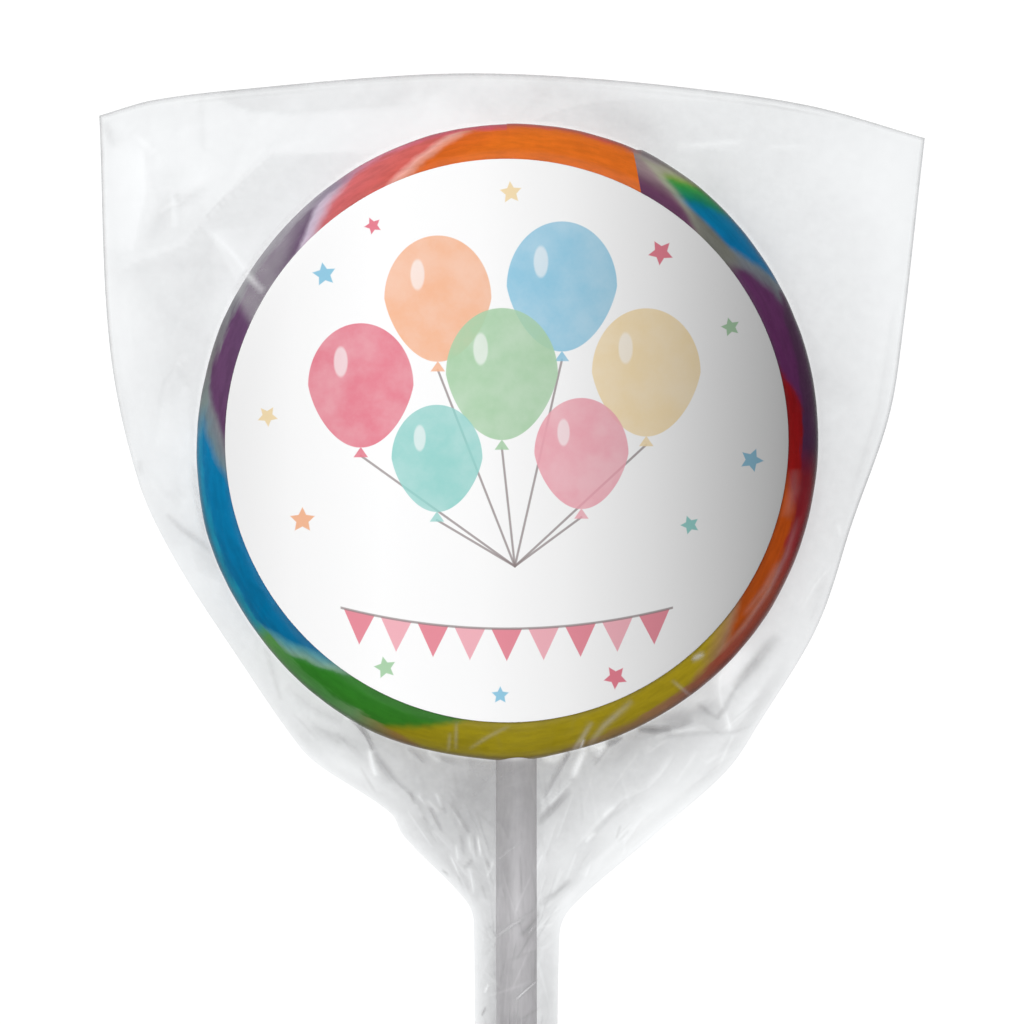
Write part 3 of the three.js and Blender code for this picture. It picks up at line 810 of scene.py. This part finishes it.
# The inputs of the candy's node tree, in metres and radians.
CANDY_SIZES = {
    "Half Width": CANDY_SHORT * MM,
    "Half Length": CANDY_LONG * MM,
    "Turn": math.radians(CANDY_TURN),
    "Half Thickness": HALF_THICKNESS * MM,
    "Crown": FACE_CROWN * MM,
    "Height": MID_Z * MM,
    "Rope Width": ROPE_WIDTH * MM,
    "Rope Turns": ROPE_TURNS,
    "Groove Width": GROOVE_WIDTH * MM,
    "Groove Depth": GROOVE_DEPTH * MM,
    "Tail Clock": math.radians(TAIL_CLOCK),
    "Tail Step": TAIL_STEP * MM,
    "Tail Fade": math.radians(TAIL_FADE),
    "Unevenness": 0.012,
    "Pressed From": (CANDY_SHORT - HALF_THICKNESS) * MM,
    "Stick X": STICK_X * MM,
    "Collar": COLLAR * MM,
    "Collar Width": COLLAR_WIDTH * MM,
}
# The candy's points: round it, and from the middle of its upper face over the rim to the middle of the lower.
POINTS_ROUND = 361
POINTS_ACROSS = 150
FACE_SHARE = 0.42        # the share of the way over the rim that each flat face takes


def candy_tree():
    """Geometry nodes for a candy of coiled rope: a grid bent to a disc with a round rim and a valley."""
    tree = bpy.data.node_groups.new("coiled candy", "GeometryNodeTree")
    start = Field(tree)
    for name in CANDY_SIZES:
        tree.interface.new_socket(name, in_out="INPUT", socket_type="NodeSocketFloat")
    tree.interface.new_socket("Finish", in_out="INPUT", socket_type="NodeSocketMaterial")
    tree.interface.new_socket("Candy", in_out="OUTPUT", socket_type="NodeSocketGeometry")
    names = [*CANDY_SIZES, "Finish"]
    size = dict(zip(names, start.node("NodeGroupInput").outputs(*names)))

    grid = start.node("GeometryNodeMeshGrid", (), {0: 1.0, 1: 1.0, 2: POINTS_ROUND, 3: POINTS_ACROSS})
    round_share, over_share, _ = axes(start.node("GeometryNodeInputPosition"))
    clock = (round_share + 0.5) * math.tau
    along = over_share + 0.5
    rim_turn = ((along - FACE_SHARE) / (1 - 2 * FACE_SHARE)).of("MINIMUM", 1).of("MAXIMUM", 0) * math.pi
    reach = (along / FACE_SHARE).of("MINIMUM", (1 - along) / FACE_SHARE).of("MINIMUM", 1)
    sine, cosine = clock.of("SINE"), clock.of("COSINE")

    # The rim's oval, with the step at the rope's tail and the bulges.
    turned = clock - size["Turn"]
    across, along_oval = turned.of("SINE") / size["Half Width"], turned.of("COSINE") / size["Half Length"]
    past_tail = ((clock - size["Tail Clock"]) / math.tau).of("FRACT") * math.tau
    tail = size["Tail Step"] * (0 - past_tail / size["Tail Fade"]).of("EXPONENT")
    rim = 1 / (across * across + along_oval * along_oval).of("SQRT") + tail
    for at, bulge, spread in RIM_BULGES:
        rim = rim + ((clock - math.radians(at)) / math.radians(spread)).bell() * (bulge * MM)
    radius = (rim - size["Half Thickness"]) * reach + size["Half Thickness"] * rim_turn.of("SINE")
    # The sugar swells a little round the stick, above and below the rim's middle.
    off_stick = (radius * sine - size["Stick X"]) / size["Collar Width"]
    near_stick = (0 - off_stick * off_stick * off_stick * off_stick).of("EXPONENT") * (cosine < 0)
    radius = radius + size["Collar"] * near_stick * (rim_turn * 2).of("SINE").of("ABSOLUTE")

    # Turns of the spiral at each place, and how far the place is from the nearest valley.
    swept = ((size["Tail Clock"] - clock) / math.tau).of("FRACT")
    valley_start = size["Half Length"] - size["Half Thickness"] + size["Groove Width"] * 1.6
    turns = (valley_start - radius) / size["Rope Width"] - swept
    nearest = turns.of("ROUND").of("MAXIMUM", 0)
    valley = ((turns - nearest) * size["Rope Width"] / size["Groove Width"]).bell()
    run_out = (nearest + swept).ease(size["Rope Turns"] - GROOVE_RUN_OUT, size["Rope Turns"])
    # The pressed rim is smooth, so the valley fades out towards it.
    pressed = radius.ease(size["Pressed From"], size["Pressed From"] + size["Groove Width"])
    groove = size["Groove Depth"] * valley * (1 - run_out) * (1 - pressed)

    upper_face = (0 - (along - 0.5)).of("SIGN").of("MAXIMUM", 0)
    crowned = size["Crown"] * (1 - reach * reach) ** 2 * upper_face
    rise = (size["Half Thickness"] - groove) * rim_turn.of("COSINE") + crowned
    height = rise + size["Height"]
    place = start.node("ShaderNodeCombineXYZ", (), {0: radius * sine, 1: radius * cosine, 2: height})
    lumps = start.node("ShaderNodeTexNoise", (), {"Vector": place, "Scale": 90.0, "Detail": 2.0})
    swell = 1 + (lumps - 0.5) * size["Unevenness"] * reach
    swell = start.node("ShaderNodeCombineXYZ", (), {0: swell, 1: swell, 2: 1.0})
    place = start.node("ShaderNodeVectorMath", {"operation": "MULTIPLY"}, {0: place, 1: swell})
    shape = start.node("GeometryNodeSetPosition", (), {"Geometry": grid, "Position": place})
    shape = start.node("GeometryNodeMergeByDistance", (), {"Geometry": shape, "Distance": 2e-6})
    shape = start.node("GeometryNodeFlipFaces", (), {"Mesh": shape})
    shape = start.node("GeometryNodeSetShadeSmooth", (), {"Geometry": shape, "Shade Smooth": True})
    shape = start.node("GeometryNodeRealizeInstances", (), {"Geometry": shape})
    shape = start.node("GeometryNodeSetMaterial", (), {"Geometry": shape, "Material": size["Finish"]})
    start.node("NodeGroupOutput", (), {"Candy": shape})
    return tree


def from_tree(name, tree, values):
    """A plain mesh object made by a geometry node tree with the given inputs."""
    carrier = mesh_object(name + "_carrier", [(0, 0, 0)], [])
    modifier = carrier.modifiers.new("shape", "NODES")
    modifier.node_group = tree
    for item in tree.interface.items_tree:
        if item.in_out == "INPUT":
            modifier[item.identifier] = values[item.name]
    seen = bpy.context.evaluated_depsgraph_get()
    mesh = bpy.data.meshes.new_from_object(carrier.evaluated_get(seen))
    carrier.modifiers.remove(modifier)
    bpy.data.objects.remove(carrier)
    mesh.name = name
    return add_object(name, mesh)


def make_candy(material):
    return from_tree("candy_swirl", candy_tree(), {**CANDY_SIZES, "Finish": material})


# The stripes of the rope's outer turn, each a clock angle on the rim and its screen colour there. These
# colours also hold painted shade: they are darker at the right and the bottom of the rim.
OUTER_STRIPES_AND_SHADE = [
    (24, 150, 146, 138), (34, 162, 160, 138), (37, 140, 166, 84), (39, 56, 150, 60), (44, 14, 122, 96),
    (47, 0, 112, 150), (59, 0, 106, 156), (62, 112, 120, 124), (65, 104, 104, 112), (68, 88, 44, 84),
    (90, 84, 34, 78), (92, 124, 10, 16), (109, 140, 18, 16), (114, 176, 72, 12), (137, 168, 74, 18),
    (141, 162, 120, 88), (149, 168, 146, 26), (205, 160, 144, 20), (209, 52, 122, 34), (231, 48, 126, 36),
    (233, 132, 168, 146), (237, 76, 148, 162), (239, 0, 107, 152), (275, 0, 118, 166), (279, 110, 130, 138),
    (283, 124, 124, 130), (286, 98, 62, 98), (326, 104, 74, 108), (328, 206, 190, 208),
    (331, 204, 176, 192), (335, 208, 104, 106), (350, 210, 98, 90),
]
# The same for the last of it and for its inner turn, with the angle counted from where the outer stripes end.
INNER_STRIPES = [
    (0, 212, 94, 90), (3, 234, 168, 154), (6, 226, 140, 110), (7.5, 216, 100, 32), (20, 226, 112, 30),
    (58, 216, 104, 30), (64, 214, 176, 24), (102, 206, 166, 24), (104, 206, 190, 182), (107, 224, 108, 28),
    (140, 216, 84, 20), (143, 206, 186, 180), (146, 172, 26, 20), (162, 150, 20, 22), (166, 94, 40, 86),
    (214, 80, 34, 78), (218, 186, 166, 176), (222, 0, 108, 166), (244, 0, 100, 156), (250, 44, 120, 34),
]
# What shows of the rope's next layer at the rim's edge: a clock angle, how far in it reaches and its colour.
EDGE_STRIPES = [
    (0, 0.12, 204, 84, 70), (22, 0.12, 204, 84, 60), (25, 0.2, 150, 140, 140), (31, 0, 150, 140, 140),
    (61, 0, 80, 50, 78), (67, 0.7, 72, 42, 70), (91, 1, 66, 32, 62), (97, 0.9, 116, 16, 30),
    (110, 0.8, 144, 26, 34), (120, 0.5, 156, 66, 44), (136, 0.6, 152, 70, 52), (147, 0.5, 152, 104, 76),
    (160, 0.4, 152, 120, 64), (172, 0, 150, 128, 50), (195, 0, 150, 116, 52), (201, 0.4, 150, 116, 52),
    (209, 0.7, 104, 144, 92), (215, 0.6, 74, 138, 66), (231, 0.7, 84, 146, 72), (234, 0.4, 16, 136, 158),
    (270, 0.3, 16, 136, 176), (277, 0.4, 120, 134, 132), (284, 0.35, 122, 118, 120),
    (298, 0.5, 128, 126, 132), (326, 0.5, 150, 134, 154), (334, 0.3, 212, 120, 140),
    (350, 0.2, 206, 80, 96),
]
SWEEP = 130              # how many degrees the stripes sweep round from the rim to the middle
OUTER_FROM, OUTER_SPAN = 24, 340
INNER_FROM, INNER_SPAN = 350, 260
# The seam where the tail ends: its X on the rim's oval of radius 1, and how far it leans by the middle.
SEAM_X = 0.394
SEAM_LEAN = 0.22
# The share of its oval at which the label's edge leaves the candy's face open.
OPEN_FROM = 0.89


def rope_stripes(swept):
    """The colours of the rope by a clock angle that counts on from its outer turn to its inner one."""
    outer = [((at - OUTER_FROM) / OUTER_SPAN, rgb(*colour)) for at, *colour in OUTER_STRIPES_AND_SHADE]
    inner = [(at / INNER_SPAN, rgb(*colour)) for at, *colour in INNER_STRIPES]
    outer_turn = ((swept - OUTER_FROM) / OUTER_SPAN).ramp(outer)
    inner_turn = ((swept - INNER_FROM) / INNER_SPAN).ramp(inner)
    return swept.ease(INNER_FROM, INNER_FROM + 0.5).blend(outer_turn, inner_turn)


def candy_material():
    material, start = new_material("boiled sugar swirl")
    place = object_place(start)
    x, y, _ = axes(place)
    turn_sine, turn_cosine = math.sin(math.radians(CANDY_TURN)), math.cos(math.radians(CANDY_TURN))
    along, across = x * turn_sine + y * turn_cosine, x * turn_cosine - y * turn_sine
    reach = ((across / CANDY_SHORT) ** 2 + (along / CANDY_LONG) ** 2).of("SQRT")
    depth = ((1 - reach) / (1 - OPEN_FROM)).of("MINIMUM", 1.4)
    to_degrees = 180 / math.pi
    clock = x.of("ARCTAN2", y) * to_degrees
    # The tail ends along a straight seam that runs down from the rim; nearer the middle it turns inwards.
    seam_x = SEAM_X + (1 - reach) * SEAM_LEAN
    seam = (seam_x / reach.of("MAXIMUM", 0.01)).of("MINIMUM", 0.87).of("ARCSINE") * to_degrees
    on_rope = ((clock - seam) / 360).of("FRACT") * 360 + seam
    # The stripes sweep inwards anticlockwise, so a place shows a stripe that meets the rim further clockwise.
    wander = (noise(place, 0.09, 2) - 0.5) * 60 * (1 - reach).ease(0.12, 0.5)
    streaks = (noise(place, 0.3, 4, 0.6) - 0.5) * 5
    stripes = rope_stripes(on_rope + (1 - reach ** 1.2) * SWEEP + wander + streaks)
    # A dull patch lies between the blue at the upper right and the label.
    dull = depth.ease(0.58, 0.74) * (1 - on_rope.ease(50, 55)) * reach.ease(0.7, 0.85)
    stripes = dull.blend(stripes, rgb(106, 106, 98))
    # The next layer shows as a wedge between the seam and a pale line, which part at the seam's upper end.
    past_line = on_rope - depth * 19 - TAIL_CLOCK + streaks * 0.5
    in_wedge = (1 - past_line.ease(-3.0, 0.5)) * reach.ease(0.7, 0.85)
    wedge = depth.ease(0.3, 0.95).blend(rgb(150, 130, 132), rgb(92, 42, 80))
    pale_line = ((past_line + 0.6) / 2.2).bell() * (0.75 - depth.ease(0.45, 0.9) * 0.55)
    stripes = pale_line.blend(in_wedge.blend(stripes, wedge), rgb(164, 160, 144))
    # Fibres of pulled sugar run round the candy.
    ring = (x * x + y * y).of("SQRT").of("MAXIMUM", 0.01)
    fibre_place = start.node("ShaderNodeCombineXYZ", (), {0: x / ring * 11, 1: y / ring * 11, 2: reach * 70})
    fibre_sockets = {"Vector": fibre_place, "Scale": 1.0, "Detail": 4.0, "Roughness": 0.6}
    fibres = start.node("ShaderNodeTexNoise", (), fibre_sockets)
    edge_stops = [(at / 360, (*rgb(*colour)[:3], shown)) for at, shown, *colour in EDGE_STRIPES]
    edge, shown = (clock / 360).of("FRACT").ramp(edge_stops).outputs("Color", "Alpha")
    on_edge = (reach + shown * 0.045 + (fibres - 0.5) * 0.04).ease(0.984, 1.0) * shown.ease(0, 0.12)
    stripes = on_edge.blend(stripes, edge)
    dark = start.node("ShaderNodeVectorMath", {"operation": "SCALE"}, {0: stripes, "Scale": 0.8})
    grain = noise(place, 0.8, 5, 0.65, (1, 1, 0.4))
    body = (fibres * 0.75 + grain * 0.25).ease(0.3, 0.66).blend(dark, stripes)
    # Painted shade: the outermost edge of the rim is darkened.
    colour = reach.ease(0.985, 1.0).blend(body, body.tint(rgb(208, 202, 206)))
    surface(principled(
        colour, noise(place, 0.3, 3) * 0.12 + 0.2,
        Specular_IOR_Level=0.03, Normal=relief(fibres, 0.12, 0.3),
    ))
    return material


# ---------------------------------------------------------------- stick

# The stick's ends, from the middle of each outwards: a share of the radius and how far in along the stick.
STICK_END = [(0, 0.5), (0.22, 0.45), (0.3, 0.05), (0.82, 0), (0.93, 0.1), (0.98, 0.25), (1, 0.45)]
LAP_PITCH = 90           # the length of stick over which the paper's edge goes once round


def make_stick(sides=64, rings=60):
    """The rolled paper stick: a rod with rounded ends, a hollow in each, and the step at the paper's edge."""
    low, high = stick_low[1], stick_high[1]
    profile = [(share, low + inwards) for share, inwards in STICK_END]
    profile += [(1, y) for y in np.linspace(low + 2, high - 2, rings)]
    profile += [(share, high - inwards) for share, inwards in STICK_END[::-1]]
    turn = np.linspace(0, 2 * np.pi, sides + 1)[None, :]
    share, y = (np.array(column)[:, None] for column in zip(*profile))
    past_lap = (turn / (2 * np.pi) + y / LAP_PITCH) % 1
    step = PAPER * smooth(past_lap, 0, 0.04) * (1 - smooth(past_lap, 0.04, 1))
    radius = (STICK_RADIUS - PAPER + step) * share
    points = np.stack([STICK_X + radius * np.sin(turn), y + 0 * turn, MID_Z + radius * np.cos(turn)], axis=2)
    return weld(mesh_object("stick_rod", points.reshape(-1, 3), grid_faces(len(profile) - 1, sides)))


def stick_material():
    material, start = new_material("rolled paper")
    fibres = noise(object_place(start), 2.5, 4, 0.6, (1, 0.15, 1))
    shade = fibres.ease(0.2, 0.8).blend(rgb(201, 198, 200), rgb(214, 211, 213))
    surface(principled(shade, fibres * 0.15 + 0.45, Normal=relief(fibres, 0.25, 0.1)))
    return material


# ---------------------------------------------------------------- label

def make_label(sides=240, rings=28):
    """The round paper sheet on the upper film, which follows the crown of the face below it."""
    radii = np.concatenate([np.linspace(0, LABEL_RADIUS - 0.05, rings), [LABEL_RADIUS]])
    radius = np.concatenate([radii, radii[::-1]])[:, None]
    lift = np.repeat([LABEL_GAP, LABEL_GAP + LABEL_THICKNESS], len(radii))[:, None]
    turn = np.linspace(0, 2 * np.pi, sides + 1)[None, :]
    x, y = radius * np.sin(turn), radius * np.cos(turn)
    points = np.stack([x, y, film_height(x, y, 1) + lift], axis=2)
    return weld(mesh_object("label_sheet", points.reshape(-1, 3), grid_faces(len(radius) - 1, sides)))


ROSE = rgb(232, 124, 142)
PALE_ROSE = rgb(243, 170, 182)
PEACH = rgb(248, 186, 148)
CREAM = rgb(248, 224, 178)
SAGE = rgb(172, 211, 172)
SKY = rgb(146, 204, 230)
TEAL = rgb(150, 214, 208)
TAUPE = rgb(142, 128, 128)
WHITE = (1, 1, 1, 1)

SOFTENING = 0.05         # half width of the soft edge of a printed shape
# Each balloon: its middle, its half width and its colour.
BALLOONS = [
    (-8.5, 17.5, 6.6, PEACH), (6.8, 19.0, 6.8, SKY), (-18.0, 6.8, 6.5, ROSE), (17.2, 8.4, 6.7, CREAM),
    (-0.6, 8.2, 6.9, SAGE), (-8.6, -2.2, 5.6, TEAL), (9.2, -1.6, 5.8, PALE_ROSE),
]
BALLOON_LENGTH = 1.18    # to its width
STRINGS_MEET = (1.0, -15.5)
# Each star: its middle, its radius, its turn in degrees and its colour.
STARS = [
    (-22.5, 20.5, 1.5, 10, SKY), (-29.5, 3.0, 1.3, 40, CREAM), (-25.2, -9.8, 1.6, 0, PEACH),
    (-16.5, 26.5, 1.1, 25, ROSE), (0.5, 30.6, 1.4, 5, CREAM), (19.0, 23.2, 1.6, 30, ROSE),
    (27.6, 14.0, 1.2, 15, SAGE), (30.2, -2.4, 1.5, 50, SKY), (22.6, -10.4, 1.2, 20, TEAL),
    (-15.0, -28.0, 1.4, 12, SAGE), (13.4, -29.2, 1.5, 33, ROSE), (-0.8, -31.4, 1.1, 0, SKY),
]
# The garland: its half length, how far its middle hangs below its ends, and their Y. Then its pennants.
GARLAND_HALF, GARLAND_SAG, GARLAND_Y = 20.5, 2.6, -20.6
PENNANT_PITCH, PENNANT_HALF, PENNANT_LENGTH = 4.55, 1.911, 4.0
# Painted shade across the label, lightest left of its middle and darkest at its right edge: a share of its
# width and a grey.
PAINTED_LABEL_SHADE = [(0, 226), (0.12, 240), (0.28, 248), (0.45, 244), (0.6, 232), (0.76, 208), (0.88, 182), (1, 150)]


def balloon_masks(x, y, middle_x, middle_y, half):
    """Masks of a balloon's body with its knot, and of its highlight."""
    tall = half * BALLOON_LENGTH
    dx, dy = x - middle_x, y - middle_y
    # The body narrows towards its knot.
    narrowing = 1 + (0 - dy).of("MAXIMUM", 0) * (0.22 / tall)
    body = ((dx * narrowing / half) ** 2 + (dy / tall) ** 2).of("SQRT")
    knot_y = dy + tall + 0.5
    knot = dx.of("ABSOLUTE") + knot_y * 0.7
    in_knot = (1 - knot.ease(0.35, 0.47)) * knot_y.ease(-0.75, -0.63)
    inside = (1 - body.ease(0.992, 1.008)).of("MAXIMUM", in_knot)
    shine = (((dx + half * 0.38) / (half * 0.13)) ** 2 + ((dy - tall * 0.38) / (tall * 0.24)) ** 2).of("SQRT")
    return inside, 1 - shine.ease(0.85, 1.15)


def line_mask(x, y, first, last, half):
    """Mask of a straight line between two places."""
    length = math.hypot(last[0] - first[0], last[1] - first[1])
    ux, uy = (last[0] - first[0]) / length, (last[1] - first[1]) / length
    dx, dy = x - first[0], y - first[1]
    along = (dx * ux + dy * uy).of("MAXIMUM", 0).of("MINIMUM", length)
    apart = ((dx - along * ux) ** 2 + (dy - along * uy) ** 2).of("SQRT")
    return 1 - apart.ease(half - SOFTENING, half + SOFTENING)


def star_mask(x, y, middle_x, middle_y, radius, turn):
    """Mask of a five-pointed star with soft points."""
    dx, dy = x - middle_x, y - middle_y
    angle = dx.of("ARCTAN2", dy) + math.radians(turn)
    fifth = math.tau / 5
    folded = (angle / fifth + 0.5).of("FRACT") * fifth - fifth / 2
    away = (dx ** 2 + dy ** 2).of("SQRT")
    # Distance to the straight side between a point of the star and the notch beside it.
    across, along = away * folded.of("SINE").of("ABSOLUTE"), away * folded.of("COSINE")
    notch = radius * 0.5
    notch_x, notch_y = notch * math.sin(fifth / 2), notch * math.cos(fifth / 2)
    slant = math.hypot(notch_x, radius - notch_y)
    apart = (across * ((radius - notch_y) / slant) + (along - radius) * (notch_x / slant))
    return 1 - apart.ease(-0.06, 0.06)


def garland_masks(x, y):
    """Masks of a sagging garland's string and of its pennants, and each place's number of pennant."""
    below = GARLAND_Y - GARLAND_SAG + (x / GARLAND_HALF) ** 2 * GARLAND_SAG - y
    within = 1 - x.of("ABSOLUTE").ease(GARLAND_HALF - SOFTENING, GARLAND_HALF + SOFTENING)
    string = (1 - below.of("ABSOLUTE").ease(0.1, 0.2)) * within
    place = x / PENNANT_PITCH + 0.5
    off_middle = (place.of("FRACT") - 0.5).of("ABSOLUTE") * PENNANT_PITCH
    across = off_middle + below * (PENNANT_HALF / PENNANT_LENGTH)
    pennant = 1 - across.ease(PENNANT_HALF - SOFTENING, PENNANT_HALF + SOFTENING)
    return string, pennant * below.ease(-0.02, 0.06) * within, place.of("FLOOR")


def label_material():
    material, start = new_material("printed label")
    place = object_place(start)
    x, y, _ = axes(place)
    wash = noise(place, 0.22, 4, 0.6).ease(0.2, 0.8) * 0.22 + 0.78
    printed = WHITE
    for middle_x, middle_y, half, _ in BALLOONS:
        knot = (middle_x, middle_y - half * BALLOON_LENGTH - 1)
        printed = (line_mask(x, y, knot, STRINGS_MEET, 0.14) * 0.8).blend(printed, TAUPE)
    for middle_x, middle_y, half, colour in BALLOONS:
        inside, shine = balloon_masks(x, y, middle_x, middle_y, half)
        printed = (shine * 0.55).blend((inside * wash).blend(printed, colour), WHITE)
    for *shape, colour in STARS:
        printed = star_mask(x, y, *shape).blend(printed, colour)
    string, pennant, number = garland_masks(x, y)
    odd = (number * 0.5).of("FRACT").ease(0.2, 0.3)
    printed = (pennant * 0.92).blend(printed, odd.blend(ROSE, PALE_ROSE))
    printed = (string * 0.8).blend(printed, TAUPE)
    # Painted shade: the print is multiplied by a grey that darkens towards the label's right edge.
    painted_label_shade = ((x / LABEL_RADIUS) * 0.5 + 0.5).ramp([(share, rgb(grey, grey, grey)) for share, grey in PAINTED_LABEL_SHADE])
    grain = noise(place, 3, 3)
    surface(principled(
        printed.tint(painted_label_shade), grain * 0.06 + 0.5, Specular_IOR_Level=0.2, Normal=relief(grain, 0.05, 0.05),
    ))
    return material


# ---------------------------------------------------------------- film

def film_material():
    material, start = new_material("clear film")
    crinkle = noise(object_place(start), 0.6, 3, 0.6)
    bump = relief(crinkle, 0.2, 0.3)
    clear = start.node("ShaderNodeBsdfTransparent", (), {"Color": (0.968, 0.975, 0.979, 1)})
    haze = start.node("ShaderNodeAttribute", {"attribute_name": "haze"}, output="Fac")
    whiteness = start.node("ShaderNodeAttribute", {"attribute_name": "whiteness"}, output="Fac")
    slant = start.node("ShaderNodeLayerWeight", (), {"Blend": 0.5, "Normal": bump}, "Facing")
    veil = haze * (crinkle * 0.6 + 0.7) + slant * slant * 0.06
    # Both faces of the film mirror alike from above and from below, so this is worked out from its slant.
    mirror = slant ** 5 * 0.25 + 0.002
    # One shader stands for both what mirrors and what scatters: metallic is the mirror's share of the two.
    seen = veil + mirror - veil * mirror
    share = (mirror / seen).of("MINIMUM", 1)
    # Painted highlights: the milk turns white where the film has glints.
    milk = whiteness.blend(rgb(149, 148, 149), rgb(250, 251, 252))
    film = principled(
        share.blend(milk, WHITE), haze * 0.3 + 0.2, Metallic=share, Specular_IOR_Level=0.0, Normal=bump,
    )
    surface(start.node("ShaderNodeMixShader", (), {0: seen, 1: clear, 2: film}))
    return material


# ---------------------------------------------------------------- stage

FLOOR_HALF = 3000
FLOOR_GLOW = 0.8         # it is a pale acrylic table, softly lit from below


def make_floor():
    corners = [(FLOOR_HALF * x, FLOOR_HALF * y, 0) for x, y in ((-1, -1), (1, -1), (1, 1), (-1, 1))]
    floor = mesh_object("floor", corners, [(0, 1, 2, 3)])
    material, start = new_material("pale floor")
    shade = noise(object_place(start), 0.02, 3).blend(rgb(140, 140, 140), rgb(144, 144, 144))
    glow = {"Emission_Color": WHITE, "Emission_Strength": FLOOR_GLOW}
    surface(principled(shade, 0.9, Specular_IOR_Level=0.1, **glow))
    floor.data.materials.append(material)


def aim(made, clock, from_top):
    """Turns a lamp to shine on the candy from a clock angle and an angle from straight above, in degrees."""
    tilt, turn = math.radians(from_top), math.radians(clock)
    towards = Vector((math.sin(tilt) * math.sin(turn), math.sin(tilt) * math.cos(turn), math.cos(tilt)))
    made.rotation_euler = towards.to_track_quat("Z", "Y").to_euler()
    return towards


def add_lamp(name, kind, strength):
    lamp = bpy.data.lights.new(name, kind)
    lamp.energy = strength
    return add_object(name, lamp)


# Each lamp: its clock angle, its angle from straight above, its width and height in metres, and its power.
LAMPS = {
    "window": (318, 72, 0.8, 0.5, 3.6),
    "left strip": (286, 52, 0.6, 0.04, 0.4),
    "right strip": (62, 50, 0.6, 0.04, 0.5),
    "near strip": (172, 56, 0.5, 0.04, 0.4),
}


def make_lights():
    """A lamp high above, a window at the upper left, and narrow strips that draw the folds of the film."""
    high = add_lamp("high lamp", "SUN", 2.55)
    high.data.angle = math.radians(40)
    aim(high, 318, 5)
    for name, (clock, from_top, width, height, power) in LAMPS.items():
        lamp = add_lamp(name, "AREA", power)
        lamp.data.shape = "RECTANGLE"
        lamp.data.size = width
        lamp.data.size_y = height
        lamp.location = aim(lamp, clock, from_top)


def make_world():
    world = bpy.data.worlds.new("studio")
    bpy.context.scene.world = world
    world.use_nodes = True
    world.node_tree.nodes.clear()
    start = Field(world.node_tree)
    _, _, height = axes(start.node("ShaderNodeTexCoord", output="Generated"))
    shade = height.ease(0.05, 0.4).blend((0.3, 0.3, 0.3, 1), (0.05, 0.05, 0.052, 1))
    light = start.node("ShaderNodeBackground", (), {"Color": shade, "Strength": 1.0})
    start.node("ShaderNodeOutputWorld", (), {"Surface": light})


# The camera's picture is square. The candy's middle lies at this pixel of it, from its upper left corner.
PICTURE = 1024
CANDY_AT = (506.8, 441.0)
PIXELS_PER_MM = 8.06
CAMERA_HEIGHT = 900.0


def make_camera():
    camera = bpy.data.cameras.new("camera")
    made = add_object("camera", camera)
    view_width = PICTURE / PIXELS_PER_MM
    camera.lens = camera.sensor_width * CAMERA_HEIGHT / view_width
    camera.clip_start = 0.05
    x = (PICTURE / 2 - CANDY_AT[0]) / PIXELS_PER_MM
    y = (CANDY_AT[1] - PICTURE / 2) / PIXELS_PER_MM
    made.location = Vector((x, y, CAMERA_HEIGHT + MID_Z)) * MM
    bpy.context.scene.camera = made


# ---------------------------------------------------------------- the whole scene

make_camera()
make_world()
make_floor()
make_lights()
bpy.context.scene.view_settings.view_transform = "Standard"

sugar = candy_material()
finish_piece(make_candy(sugar), "candy", sugar)
finish_piece(make_stick(), "stick", stick_material())
film = film_material()
lower_rows = np.concatenate([GATHERED_ROWS[:-1:2], OPEN_ROWS[::2]])
finish_piece(make_film("film_upper", 1, OPEN_ROWS, 320), "bag", film)
finish_piece(make_film("film_gathered", 1, GATHERED_ROWS, 320), "bag", film)
finish_piece(make_film("film_lower", -1, lower_rows, 200), "bag", film)
finish_piece(make_label(), "label", label_material())
